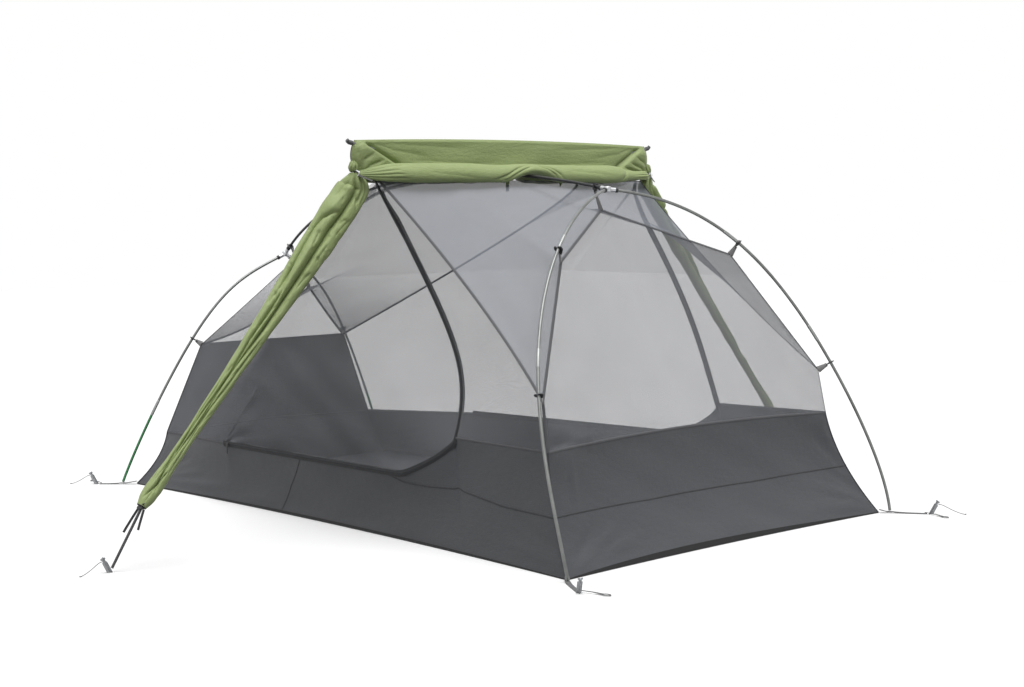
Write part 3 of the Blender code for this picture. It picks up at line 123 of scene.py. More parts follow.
# Poles
POLE_RADIUS = 0.0045
POLE_TIP = 0.007
HEAD_TIP = np.array((1.1, 0.7, POLE_TIP))
FOOT_TIP = np.array((-1.112, 0.578, POLE_TIP))
HEAD_LEG_BENDS = ((0.809, 0.412, 0.934), (0.791, 0.631, 0.642), (1.057, 0.714, 0.245))
FOOT_LEG_BENDS = ((-1.008, 0.205, 0.668), (-1.019, 0.269, 0.661), (-1.096, 0.510, 0.182))
SPINE_FOOT_PULL = np.array((0.25, 0.0, 0.264))
SPINE_HEAD_PULL = np.array((-0.627, 0.0, 0.113))
GREEN_LENGTH = 0.27
RIDGE_POLE_X = 0.19
RIDGE_POLE_HALF = 0.635
RIDGE_POLE_RISE = 0.075
RIDGE_POLE_BEND = 1.6  # power of the rise of its ends
SADDLE_RISE = 0.0135  # from the spine pole's centre up to the ridge pole's

# Fly
FLY_TOP_RISE = 0.0162  # above the centre of the ridge pole's ends
FLY_HALF = 0.62
ROLL_DROP = 0.1005
ROLL_OFFSET = 0.0635
ROLL_RADIUS = 0.0285
STRIP_TOP_OUT = 0.0525
STRIP_TOP_DROP = 0.132
STRIP_END_OUT = 0.7795
STRIP_END_HEIGHT = 0.165
STRIP_LEAN = 0.01
STRIP_SAG = 0.008
STRIP_TILT = math.radians(52)

# Stakes and cords
HEAD_STAKE = np.array((1.2, 0.765, 0.0))
FOOT_STAKE = np.array((-1.178, 0.639, 0.0))
STAKE_TILT = math.radians(28)
STAKE_HEIGHT = 0.046
STAKE_BLADE = 0.0075
STAKE_NOTCH = 0.62
STAKE_TIE = 0.81  # share of a stake's height at which its cord is tied
VESTIBULE_STAKE_OUT = 0.8595
VESTIBULE_STAKE_BACK = 0.03
CORD_RADIUS = 0.001
CORD_CLEAR = STAKE_BLADE * STAKE_NOTCH + CORD_RADIUS + 0.0003


# Curves and grids

def mirrored(points, side):
    """Points of the left side, carried to the given side."""
    return np.asarray(points) * np.array((1.0, side, 1.0))


def bezier(controls, steps):
    """Points along the Bezier curve of any order with these control points."""
    controls = np.asarray(controls, dtype=float)
    order = len(controls) - 1
    t = np.linspace(0.0, 1.0, steps + 1)[:, None]
    weights = [math.comb(order, k) * (1 - t) ** (order - k) * t**k for k in range(order + 1)]
    return sum(weight * control for weight, control in zip(weights, controls))


def along(points):
    """Distance along a polyline at each of its points."""
    steps = np.linalg.norm(np.diff(points, axis=0), axis=1)
    return np.concatenate(([0.0], np.cumsum(steps)))


def resample(points, steps, start=0.0, end=None):
    """Evenly spaced points on a polyline, from one distance along it to another."""
    points = np.asarray(points, dtype=float)
    distance = along(points)
    wanted = np.linspace(start, distance[-1] if end is None else end, steps + 1)
    return np.stack([np.interp(wanted, distance, points[:, k]) for k in range(points.shape[1])], 1)


def line(a, b, steps):
    """Evenly spaced points from a to b."""
    return resample([a, b], steps)


def coons(bottom, top, left, right, fading=1.0):
    """A grid of points that fills four boundary curves.

    What the bottom and top curves add to their chords fades out between them, and more
    quickly with a higher power.
    """
    bottom, top, left, right = (np.asarray(edge, dtype=float) for edge in (bottom, top, left, right))
    u = np.linspace(0.0, 1.0, len(bottom))[:, None, None]
    v = np.linspace(0.0, 1.0, len(left))[None, :, None]
    ruled = (1 - u) * left[None] + u * right[None]
    low = bottom[:, None] - (1 - u) * bottom[0] - u * bottom[-1]
    high = top[:, None] - (1 - u) * top[0] - u * top[-1]
    return ruled + (1 - v) ** fading * low + v**fading * high


def smooth_step(share):
    """Eases a share from 0 to 1."""
    share = np.clip(share, 0.0, 1.0)
    return share * share * (3 - 2 * share)


def softened(values, reach):
    """A running mean of values, over this many on each side."""
    whole = 2 * reach + 1
    return np.convolve(np.pad(values, reach, mode="edge"), np.ones(whole) / whole, mode="valid")


def unit(vector):
    """The vector at length 1."""
    return np.asarray(vector, dtype=float) / np.linalg.norm(vector)


# Pole and seam lines, as in the part but for the ridge seam, which sags less

def spine_line(steps=120):
    """Centre line of the spine pole, from the foot hub to the head hub."""
    return bezier((FOOT_HUB, FOOT_HUB + SPINE_FOOT_PULL, HEAD_HUB + SPINE_HEAD_PULL, HEAD_HUB), steps)


def spine_height(x):
    """Height of the spine pole's centre line at x."""
    spine = spine_line()
    return float(np.interp(x, spine[:, 0], spine[:, 2]))


RIDGE_POLE_Z = spine_height(RIDGE_POLE_X) + SADDLE_RISE
RIDGE_Z = RIDGE_POLE_Z - RIDGE_HANG
RIDGE_END = np.array((RIDGE_X, RIDGE_HALF, RIDGE_Z))
FLY_TOP = RIDGE_POLE_Z + RIDGE_POLE_RISE + FLY_TOP_RISE
DOOR_TOP = np.array((RIDGE_X + DOOR_TOP_SHIFT, RIDGE_Z - DOOR_TOP_DROP))


def ridge_pole_line(steps=96):
    """Centre line of the ridge pole, whose ends rise."""
    y = np.linspace(-RIDGE_POLE_HALF, RIDGE_POLE_HALF, steps + 1)
    rise = RIDGE_POLE_RISE * np.abs(y / RIDGE_POLE_HALF) ** RIDGE_POLE_BEND
    return np.stack([np.full_like(y, RIDGE_POLE_X), y, RIDGE_POLE_Z + rise], axis=1)


def head_leg_line(side, steps=120):
    """Centre line of a head leg, from its hub to the ground."""
    return mirrored(bezier((HEAD_HUB, *HEAD_LEG_BENDS, HEAD_TIP), steps), side)


def foot_leg_line(side, steps=120):
    """Centre line of a foot leg, from its hub to the ground."""
    return mirrored(bezier((FOOT_HUB, *FOOT_LEG_BENDS, FOOT_TIP), steps), side)


def edge_y(x):
    """Half width of the straight-sided floor at x."""
    return np.interp(x, (-HALF_LENGTH, HALF_LENGTH), (HALF_FOOT, HALF_HEAD))


def wall_y(x, z):
    """Half width of the inner tent's side wall at x and height z, above the tub."""
    sill_x = (FOOT_TUB[0], DOOR_START[0], DOOR_CORNER[0], HEAD_TUB[0])
    sill_y = (
        FOOT_TUB[1],
        edge_y(DOOR_START[0]) - SILL_INSETS[0],
        edge_y(DOOR_CORNER[0]) - SILL_INSETS[1],
        HEAD_TUB[1],
    )
    sill_z = (FOOT_TUB[2], DOOR_START[1], DOOR_START[1], HEAD_TUB[2])
    seam = np.array((FOOT_HIGH, RIDGE_END - np.array((0.0, WALL_TOP_INSET, 0.0)), HEAD_LOW))
    low_y = np.interp(x, sill_x, sill_y)
    low_z = np.interp(x, sill_x, sill_z)
    high_y = np.interp(x, seam[:, 0], seam[:, 1])
    high_z = np.interp(x, seam[:, 0], seam[:, 2])
    rise = np.clip((z - low_z) / (high_z - low_z), 0.0, 1.0)
    hinge = unit(DOOR_TOP - DOOR_START)
    from_hinge = (x - DOOR_START[0]) * hinge[1] - (z - DOOR_START[1]) * hinge[0]
    share = np.clip(from_hinge / WALL_BOW_REACH, 0.0, 1.0)
    share = smooth_step(np.minimum(share, (HEAD_TUB[0] - x) / WALL_BOW_END))
    return low_y + (high_y - low_y) * rise - WALL_BOW * share * np.sin(math.pi * rise)


def on_wall(flat, side):
    """Lifts points given as (x, height) onto the side wall."""
    flat = np.asarray(flat, dtype=float)
    x, z = flat[..., 0], flat[..., 1]
    return np.stack([x, side * wall_y(x, z), z], axis=-1)


def zip_curve(side):
    """The zip's whole line, from the foot end of the sill, round the door and up to the ridge."""
    belly_x, belly_z = DOOR_BELLY
    along_sill = (DOOR_CORNER[0] + DOOR_CORNER_PULL[0], DOOR_CORNER[1])
    under_belly = (belly_x, belly_z - DOOR_CORNER_PULL[1])
    over_belly = (belly_x, belly_z + DOOR_RISE_PULL)
    under_top = (DOOR_TOP[0] + DOOR_TOP_PULL[0], DOOR_TOP[1] - DOOR_TOP_PULL[1])
    run = line(DOOR_START, DOOR_CORNER, 60)
    low = bezier((DOOR_CORNER, along_sill, under_belly, DOOR_BELLY), 60)
    high = bezier((DOOR_BELLY, over_belly, under_top, DOOR_TOP), 80)
    return on_wall(np.vstack((run, low[1:], high[1:])), side)


def cut_at_height(curve, height):
    """Splits a curve in two where it first passes this height."""
    index = int(np.argmax(curve[:, 2] > height))
    share = (height - curve[index - 1, 2]) / (curve[index, 2] - curve[index - 1, 2])
    cut = curve[index - 1] + (curve[index] - curve[index - 1]) * share
    return np.vstack((curve[:index], cut)), np.vstack((cut, curve[index:]))


def ground_edge(side, shares):
    """The floor's long edge, cut slightly inward, at these shares of its length from the foot."""
    x = (np.asarray(shares) * 2 - 1) * HALF_LENGTH
    bow = 1 - (x / HALF_LENGTH) ** 2
    return np.stack([x, side * (edge_y(x) - FLOOR_BOW * bow), GROUND + SIDE_LIFT * bow], axis=1)


def x_of_end(end, bow):
    """How far along the floor its head or foot edge lies, where it bows inward by this share."""
    return end * (HALF_LENGTH - END_BOW * bow)


def end_edge(end, steps):
    """The floor's head or foot edge, from right to left, cut slightly inward."""
    half, lift = (HALF_HEAD, HEAD_LIFT) if end > 0 else (HALF_FOOT, FOOT_LIFT)
    y = np.linspace(-half, half, steps + 1)
    bow = 1 - (y / half) ** 2
    return np.stack([x_of_end(end, bow), y, GROUND + lift * bow * (1 - LIFT_LEAN * y / half)], axis=1)


def corner_edge(end, side, steps):
    """The upright seam at a corner, from the floor to the top of the tub."""
    t = np.linspace(0.0, 1.0, steps + 1)[:, None]
    if end > 0:
        low, high, bulge = np.array((HALF_LENGTH, HALF_HEAD, GROUND)), HEAD_TUB, HEAD_BULGE
    else:
        low, high, bulge = np.array((-HALF_LENGTH, HALF_FOOT, GROUND)), FOOT_TUB, FOOT_BULGE
    return mirrored(low + (high - low) * t + 4 * t * (1 - t) * bulge, side)


def head_tub_top(steps):
    """Top edge of the head tub wall, from right to left."""
    t = np.linspace(0.0, 1.0, steps + 1)[:, None]
    ends = mirrored(HEAD_TUB, -1) + (HEAD_TUB - mirrored(HEAD_TUB, -1)) * t
    return ends + 4 * t * (1 - t) * HEAD_TOP_BOW


def side_tub_top(side, steps):
    """Top edge of a side tub wall, from foot to head: it follows the zip past the door."""
    below, _ = cut_at_height(zip_curve(1.0), HEAD_TUB[2])
    whole = np.vstack((line(FOOT_TUB, below[0], 20)[:-1], below, line(below[-1], HEAD_TUB, 20)[1:]))
    return mirrored(resample(whole, steps), side)


def ridge_line(start, end, steps):
    """Points of the ridge seam, which sags between its middle and its ends, from one y to another."""
    y = np.linspace(start, end, steps + 1)
    drop = RIDGE_DROP * np.sin(math.pi * y / RIDGE_HALF) ** 2
    return np.stack([np.full_like(y, RIDGE_X), y, RIDGE_Z - drop], axis=1)


def head_side_seam(side, steps):
    """Seam of the roof's head part, from the low hanging point up to the ridge."""
    bend = (HEAD_LOW + RIDGE_END) / 2 + 2.0 * HEAD_SEAM_BOW
    return mirrored(bezier((HEAD_LOW, bend, RIDGE_END), steps), side)


def foot_side_seam(side, steps):
    """Seam of the roof's foot part, from the hanging point up to the ridge."""
    reach = RIDGE_HALF - FOOT_SEAM_INSET
    end = ridge_line(reach, reach, 0)[0]
    curve = bezier((FOOT_HIGH, FOOT_HIGH + FOOT_SEAM_RISE, end + FOOT_SEAM_LANDING, end), 160)
    return mirrored(resample(curve, steps), side)


def gable_edge(side, steps):
    """Top edge of the foot gable, from its hanging point up to the peak."""
    bend = (FOOT_HIGH + FOOT_PEAK) / 2 + 2.0 * GABLE_EDGE_BOW
    return mirrored(bezier((FOOT_HIGH, bend, FOOT_PEAK), steps), side)


def strip_line(side, steps):
    """Centre line of a bunched door panel of the fly, from the ridge's end to its strap."""
    top = np.array((RIDGE_POLE_X, side * (RIDGE_HALF + STRIP_TOP_OUT), FLY_TOP - STRIP_TOP_DROP))
    end_y = side * (RIDGE_HALF + STRIP_END_OUT)
    end = np.array((RIDGE_POLE_X - STRIP_LEAN, end_y, STRIP_END_HEIGHT))
    t = np.linspace(0.0, 1.0, steps + 1)[:, None]
    return top + (end - top) * t - 4 * t * (1 - t) * UP * STRIP_SAG


def stake_places():
    """Each stake's foot on the ground and the way it leans."""
    places = {}
    for word, side in SIDES.items():
        head, foot = mirrored(HEAD_STAKE, side), mirrored(FOOT_STAKE, side)
        out = side * (RIDGE_HALF + VESTIBULE_STAKE_OUT)
        vestibule = np.array((RIDGE_POLE_X - STRIP_LEAN - VESTIBULE_STAKE_BACK, out, 0.0))
        places[f"head_{word}"] = (head, head - mirrored((HALF_LENGTH, HALF_HEAD, 0.0), side))
        places[f"foot_{word}"] = (foot, foot - mirrored((-HALF_LENGTH, HALF_FOOT, 0.0), side))
        places[f"vestibule_{word}"] = (vestibule, np.array((0.0, side, 0.0)))
    return places


def stake_frame(lean):
    """Unit vectors up a stake, out of its front blade, and level outward."""
    outward = unit((lean[0], lean[1], 0.0))
    axis = outward * math.sin(STAKE_TILT) + UP * math.cos(STAKE_TILT)
    front = outward * math.cos(STAKE_TILT) - UP * math.sin(STAKE_TILT)
    return axis, front, outward


# Materials

class Tree:
    """A node tree, built by short calls."""

    def __init__(self, tree):
        self.nodes = tree.nodes
        self.links = tree.links

    def add(self, kind, inputs=None, **settings):
        """Adds a node. An input is a plain value or another node's socket."""
        made = self.nodes.new(kind)
        for key, value in settings.items():
            setattr(made, key, value)
        for key, value in (inputs or {}).items():
            self.set(made.inputs[key], value)
        return made

    def set(self, socket, value):
        """Gives a socket a value or links it."""
        if isinstance(value, bpy.types.NodeSocket):
            self.links.new(value, socket)
        else:
            socket.default_value = value

    def math(self, operation, a, b=0.0):
        """A Math node's output."""
        return self.add("ShaderNodeMath", {0: a, 1: b}, operation=operation).outputs[0]


class Graph(Tree):
    """A material's node tree, with the patterns that the finishes are made of."""

    def __init__(self, name, roughness=0.5, metallic=0.0, **fixed):
        self.material = bpy.data.materials.new(name)
        self.material.use_nodes = True
        super().__init__(self.material.node_tree)
        self.shader = self.nodes["Principled BSDF"]
        self.shader.inputs["Roughness"].default_value = roughness
        self.shader.inputs["Metallic"].default_value = metallic
        for socket, value in fixed.items():
            self.shader.inputs[socket.replace("_", " ")].default_value = value

    def coordinates(self, layer=None):
        """The named cloth layer's coordinates in metres, or the object's own."""
        if layer:
            return self.add("ShaderNodeUVMap", uv_map=layer).outputs[0]
        return self.add("ShaderNodeTexCoord").outputs["Object"]

    def scaled(self, vector, scale):
        """Coordinates times a scale, which may differ by axis."""
        scale = scale if hasattr(scale, "__len__") else (scale,) * 3
        return self.add("ShaderNodeVectorMath", {0: vector, 1: scale}, operation="MULTIPLY").outputs[0]

    def noise(self, vector, scale, detail=3.0, roughness=0.5):
        """Noise from 0 to 1 about a mean of a half."""
        inputs = {"Vector": vector, "Scale": scale, "Detail": detail, "Roughness": roughness}
        return self.add("ShaderNodeTexNoise", inputs).outputs[0]

    def between(self, value, low, high, start=0.0):
        """Maps start to 1 onto low to high."""
        inputs = {"Value": value, "From Min": start, "To Min": low, "To Max": high}
        return self.add("ShaderNodeMapRange", inputs).outputs[0]

    def mix(self, share, a, b):
        """Two colours mixed by a share."""
        node = self.add("ShaderNodeMix", data_type="RGBA")
        self.set(node.inputs[0], share)
        for index, colour in ((6, a), (7, b)):
            self.set(node.inputs[index], (*colour, 1.0) if isinstance(colour, tuple) else colour)
        return node.outputs[2]

    def weave(self, vector, pitch):
        """A plain weave's height, from 0 to 1, with this thread pitch in metres."""
        split = self.add("ShaderNodeSeparateXYZ", {0: vector})
        waves = []
        for axis in (0, 1):
            turn = self.math("MULTIPLY", split.outputs[axis], 2 * math.pi / pitch)
            waves.append(self.math("SINE", turn))
        return self.between(self.math("MULTIPLY", *waves), 0.0, 1.0, start=-1.0)

    def grid_lines(self, vector, pitch, width):
        """A ripstop grid: 1 on its lines and 0 between them."""
        split = self.add("ShaderNodeSeparateXYZ", {0: vector})
        masks = []
        for axis in (0, 1):
            turn = self.math("PINGPONG", split.outputs[axis], pitch / 2)
            masks.append(self.math("LESS_THAN", turn, width / 2))
        return self.math("MAXIMUM", *masks)

    def finish(self, colour, roughness, height, distance, strength, alpha=1.0):
        """Links what was made to the shader, with bumps of this height, and returns the material."""
        bumps = self.add("ShaderNodeBump", {"Height": height, "Distance": distance, "Strength": strength})
        values = {"Base Color": colour, "Roughness": roughness, "Alpha": alpha, "Normal": bumps.outputs[0]}
        for name, value in values.items():
            self.set(self.shader.inputs[name], value)
        return self.material


RIPSTOP_PITCH = 0.005  # metres between the lines of a ripstop grid
NETTING_PITCH = 0.0012
CLOSER_FROM = -0.50  # x at which the roof's netting starts to be knitted closer
CLOSER_TO = -0.98


def coated_nylon(name, colour, pale, roughness):
    """Thin coated ripstop cloth: a fine weave, raised grid lines, and soft mottling."""
    graph = Graph(name, Specular_IOR_Level=0.35, Sheen_Weight=0.12, Sheen_Roughness=0.4)
    place = graph.coordinates("cloth")
    mottle = graph.noise(place, 5.0, 4.0)
    grid = graph.grid_lines(place, RIPSTOP_PITCH, 0.0005)
    weave = graph.weave(place, 0.0009)
    base = graph.mix(graph.between(mottle, 0.1, 0.9), colour, pale)
    base = graph.mix(graph.math("MULTIPLY", grid, 0.16), base, tuple(2.0 * c for c in pale))
    crumple = graph.noise(graph.scaled(place, (1.0, 1.6, 1.0)), 28.0, 4.0, 0.6)
    height = graph.math("ADD", graph.math("MULTIPLY", crumple, 2.2), graph.math("MULTIPLY", weave, 0.12))
    height = graph.math("ADD", height, graph.math("MULTIPLY", grid, 0.10))
    rough = graph.between(mottle, roughness - 0.06, roughness + 0.10)
    return graph.finish(base, rough, height, 0.0012, 0.55)


def netting(name, colour, cover, contrast, closer=0.0):
    """Fine insect netting: an alpha pattern of threads and holes that lets what is behind it show.

    Toward the tent's foot it may be knitted closer, by this much cover.
    """
    graph = Graph(name, Specular_IOR_Level=0.2)
    place = graph.coordinates("cloth")
    pattern = graph.weave(place, NETTING_PITCH)
    stretch = graph.noise(graph.scaled(place, (1.0, 1.4, 1.0)), 3.5, 3.0)
    alpha = graph.between(pattern, cover - contrast, cover + contrast)
    alpha = graph.math("ADD", alpha, graph.between(stretch, -0.05, 0.05))
    if closer:
        along_tent = graph.add("ShaderNodeSeparateXYZ", {0: graph.coordinates()}).outputs[0]
        inputs = {"Value": along_tent, "From Min": CLOSER_FROM, "From Max": CLOSER_TO, "To Max": closer}
        alpha = graph.math("ADD", alpha, graph.add("ShaderNodeMapRange", inputs).outputs[0])
    pale = tuple(min(1.0, 1.18 * c) for c in colour)
    base = graph.mix(stretch, colour, pale)
    rough = graph.between(stretch, 0.7, 0.9)
    height = graph.noise(place, 20.0, 3.0)
    return graph.finish(base, rough, height, 0.001, 0.3, alpha=alpha)


def fly_cloth(name):
    """Green silicone-coated nylon, with sheen, small creases and a faint ripstop grid."""
    graph = Graph(name, Specular_IOR_Level=0.4, Sheen_Weight=0.15, Sheen_Roughness=0.35)
    place = graph.coordinates("cloth")
    mottle = graph.noise(place, 7.0, 4.0)
    grid = graph.grid_lines(place, RIPSTOP_PITCH, 0.0006)
    base = graph.mix(graph.between(mottle, 0.0, 1.0), (0.250, 0.318, 0.112), (0.335, 0.408, 0.182))
    base = graph.mix(graph.math("MULTIPLY", grid, 0.12), base, (0.45, 0.55, 0.30))
    creases = graph.noise(graph.scaled(place, (1.0, 2.6, 1.0)), 38.0, 5.0, 0.62)
    weave = graph.weave(place, 0.0008)
    height = graph.math("ADD", graph.math("MULTIPLY", creases, 2.4), graph.math("MULTIPLY", weave, 0.1))
    rough = graph.between(mottle, 0.42, 0.62)
    return graph.finish(base, rough, height, 0.0014, 0.7)


def woven_strap(name, colour, pale):
    """Flat woven webbing: chevron threads across it."""
    graph = Graph(name, Specular_IOR_Level=0.3, Sheen_Weight=0.2, Sheen_Roughness=0.5)
    place = graph.coordinates()
    weave = graph.weave(place, 0.0016)
    wear = graph.noise(place, 60.0, 3.0)
    base = graph.mix(graph.math("MULTIPLY", weave, wear), colour, pale)
    rough = graph.between(wear, 0.7, 0.9)
    return graph.finish(base, rough, weave, 0.0005, 0.8)


def anodised(name, colour, pale, roughness):
    """Drawn and anodised tube or bar: long faint streaks, and paler worn places."""
    graph = Graph(name, metallic=0.75)
    place = graph.coordinates()
    streak = graph.noise(graph.scaled(place, (18.0, 18.0, 3.0)), 8.0, 5.0, 0.65)
    wear = graph.noise(place, 14.0, 5.0, 0.7)
    base = graph.mix(graph.between(wear, -0.2, 0.9), colour, pale)
    rough = graph.between(streak, roughness - 0.08, roughness + 0.14)
    return graph.finish(base, rough, streak, 0.0002, 0.4)


def cast_metal(name):
    """Bright hub metal with a fine grain."""
    graph = Graph(name, metallic=0.9)
    place = graph.coordinates()
    grain = graph.noise(place, 240.0, 4.0, 0.6)
    stain = graph.noise(place, 45.0, 3.0)
    base = graph.mix(stain, (0.40, 0.41, 0.42), (0.62, 0.63, 0.64))
    return graph.finish(base, graph.between(grain, 0.26, 0.44), grain, 0.0002, 0.5)


def moulded(name, colour, roughness):
    """Moulded plastic with a spark-eroded texture and scuffed patches."""
    graph = Graph(name, Specular_IOR_Level=0.45)
    place = graph.coordinates()
    grain = graph.noise(place, 420.0, 3.0, 0.6)
    scuff = graph.noise(place, 70.0, 4.0, 0.65)
    base = graph.mix(graph.between(scuff, -0.3, 0.8), colour, tuple(2.4 * c for c in colour))
    rough = graph.between(scuff, roughness - 0.1, roughness + 0.18)
    return graph.finish(base, rough, grain, 0.00015, 0.5)


def zip_tape(name, colour, pale):
    """Woven zip tape and coil."""
    graph = Graph(name, Specular_IOR_Level=0.35)
    place = graph.coordinates()
    weave = graph.weave(place, 0.0014)
    wear = graph.noise(place, 40.0, 3.0)
    base = graph.mix(graph.math("MULTIPLY", wear, weave), colour, pale)
    return graph.finish(base, graph.between(wear, 0.5, 0.75), weave, 0.0004, 0.6)


DARK_CLOTH = coated_nylon("tub_nylon", (0.050, 0.052, 0.058), (0.067, 0.070, 0.077), 0.5)
# Painted shadow: near-black cloth for the strips under the walls' lifted lower edges
PAINTED_SHADOW_CLOTH = coated_nylon("hem_nylon", (0.006, 0.006, 0.007), (0.011, 0.011, 0.012), 0.6)
FLOOR_CLOTH = coated_nylon("floor_nylon", (0.055, 0.057, 0.063), (0.075, 0.078, 0.085), 0.5)
NETTING = netting("side_netting", (0.275, 0.282, 0.302), 0.45, 0.22)
ROOF_NETTING = netting("foot_roof_netting", (0.250, 0.257, 0.280), 0.44, 0.18, closer=0.36)
DENSE_NETTING = netting("head_roof_netting", (0.185, 0.195, 0.22), 0.70, 0.14)
GREEN_CLOTH = fly_cloth("fly_nylon")
SEAM_TAPE = zip_tape("seam_tape", (0.088, 0.090, 0.097), (0.145, 0.147, 0.157))
ZIP_BLACK = zip_tape("zip_black", (0.016, 0.017, 0.019), (0.045, 0.046, 0.05))
ZIP_LINING = zip_tape("zip_lining", (0.045, 0.046, 0.050), (0.075, 0.076, 0.080))
POLE_GREY = anodised("pole_grey", (0.13, 0.135, 0.13), (0.34, 0.35, 0.34), 0.34)
POLE_DARK = anodised("pole_dark", (0.035, 0.036, 0.038), (0.10, 0.10, 0.105), 0.38)
POLE_GREEN = anodised("pole_green", (0.03, 0.15, 0.055), (0.08, 0.28, 0.12), 0.32)
FERRULE = anodised("pole_ferrule", (0.24, 0.25, 0.245), (0.44, 0.45, 0.44), 0.34)
HUB_METAL = cast_metal("hub_metal")
BLACK_PLASTIC = moulded("black_plastic", (0.018, 0.018, 0.02), 0.42)
GREY_STRAP = woven_strap("grey_strap", (0.10, 0.10, 0.105), (0.24, 0.24, 0.245))
PALE_STRAP = woven_strap("pale_strap", (0.24, 0.235, 0.235), (0.42, 0.41, 0.41))
STAKE_METAL = anodised("stake_metal", (0.20, 0.21, 0.22), (0.48, 0.49, 0.50), 0.36)
DARK_SEAM = zip_tape("dark_seam", (0.038, 0.039, 0.043), (0.06, 0.062, 0.067))
GREEN_STRAP = woven_strap("green_strap", (0.12, 0.17, 0.05), (0.24, 0.32, 0.12))
CORD_SHEATH = woven_strap("cord_sheath", (0.16, 0.16, 0.165), (0.36, 0.36, 0.37))


# Making pieces

def add_piece(name, vertices, faces, finish, body=ROOT, nodes=(), slot=None, uv=None):
    """Makes one piece, rides it on its body and hides the nodes it stands for.

    Its slot argument is not used.
    """
    mesh = bpy.data.meshes.new(name)
    mesh.from_pydata([tuple(v) for v in vertices], [], [tuple(int(k) for k in f) for f in faces])
    mesh.materials.append(finish)
    if uv is not None:
        layer = mesh.uv_layers.new(name="cloth")
        corners = np.empty(len(mesh.loops), dtype=np.int32)
        mesh.loops.foreach_get("vertex_index", corners)
        layer.uv.foreach_set("vector", np.asarray(uv, dtype=np.float32)[corners].ravel())
    mesh.shade_smooth()
    made = bpy.data.objects.new(name, mesh)
    bpy.context.collection.objects.link(made)
    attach(made, body)
    if nodes:
        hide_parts(*nodes)
    return made


def grid_faces(rows, columns):
    """Quads of a grid of points."""
    i, j = (a.ravel() for a in np.meshgrid(np.arange(rows - 1), np.arange(columns - 1), indexing="ij"))
    first = i * columns + j
    return np.stack([first, first + columns, first + columns + 1, first + 1], 1)


def grid_normals(grid):
    """Unit normals of a grid of points."""
    normals = np.cross(np.gradient(grid, axis=0), np.gradient(grid, axis=1))
    return normals / np.maximum(np.linalg.norm(normals, axis=2, keepdims=True), 1e-12)


def cloth_coordinates(grid):
    """Flat coordinates in metres of a nearly flat panel, along its two main directions."""
    points = grid.reshape(-1, 3)
    centred = points - points.mean(axis=0)
    _, _, axes = np.linalg.svd(centred, full_matrices=False)
    return centred @ axes[:2].T


def grid_area(grid):
    """Area of a grid of points."""
    a = grid[1:, 1:] - grid[:-1, :-1]
    b = grid[1:, :-1] - grid[:-1, 1:]
    return float(np.linalg.norm(np.cross(a, b), axis=2).sum() / 2)


# How quickly folds and creases rise at their start and fade toward their end
FOLD_ONSET = 5.0
FOLD_ENDING = 2.5
CREASE_ONSET = 6.0
CREASE_ENDING = 3.0
CREASE_FIRST_STEP = 0.15
RIPPLE_WAVES = 9
RIPPLE_SPREAD = (0.6, 1.6)  # of the waves' lengths, as shares of their size


def fold_height(u, v, folds):
    """Height of sculpted folds at (u, v): each fold is a ridge along a line, faded at its ends.

    A fold is ((u, v) of its start, (u, v) of its end, width, height).
    """
    height = np.zeros_like(u)
    for (u0, v0), (u1, v1), width, rise in folds:
        du, dv = u1 - u0, v1 - v0
        length = math.hypot(du, dv)
        t = ((u - u0) * du + (v - v0) * dv) / length**2
        away = ((u - u0) * dv - (v - v0) * du) / length
        fade = smooth_step(t * FOLD_ONSET) * smooth_step((1.0 - t) * FOLD_ENDING)
        height += rise * fade * np.exp(-((away / width) ** 2))
    return height


def crease_height(u, v, creases):
    """Height of sharp creases in cloth at (u, v): each is a valley along a polyline.

    A crease is (its points, width, depth). It fades at both ends, and a negative depth is a ridge.
    """
    height = np.zeros_like(u)
    for path, width, depth in creases:
        path = np.asarray(path, dtype=float)
        stops = along(path) / along(path)[-1]
        nearest = np.full_like(u, np.inf)
        place = np.zeros_like(u)
        for (a, b), (start, stop) in zip(zip(path, path[1:]), zip(stops, stops[1:])):
            step = b - a
            t = np.clip(((u - a[0]) * step[0] + (v - a[1]) * step[1]) / (step @ step), 0.0, 1.0)
            away = np.hypot(u - a[0] - t * step[0], v - a[1] - t * step[1])
            place = np.where(away < nearest, start + (stop - start) * t, place)
            nearest = np.minimum(nearest, away)
        onset = smooth_step(place * CREASE_ONSET + CREASE_FIRST_STEP)
        fade = onset * smooth_step((1.0 - place) * CREASE_ENDING)
        height -= depth * fade * np.exp(-nearest / width)
    return height


def ripples(u, v, size, height, seed):
    """Smooth random unevenness from a few sine waves, the same in every run."""
    random = np.random.default_rng(seed)
    total = np.zeros_like(u)
    for _ in range(RIPPLE_WAVES):
        angle, phase = random.uniform(0.0, 2 * math.pi, 2)
        pitch = size * random.uniform(*RIPPLE_SPREAD)
        turn = (u * math.cos(angle) + v * math.sin(angle)) * 2 * math.pi / pitch
        total += np.sin(turn + phase)
    return total * height / math.sqrt(RIPPLE_WAVES)


GRIDS = {}  # each panel's points, by its name, for the lines that are sewn on it
RIPPLE_SIZE = 0.22  # length of a panel's ripples
STILL_EDGE = 0.03  # width of a panel's edge over which its folds die away to the seam


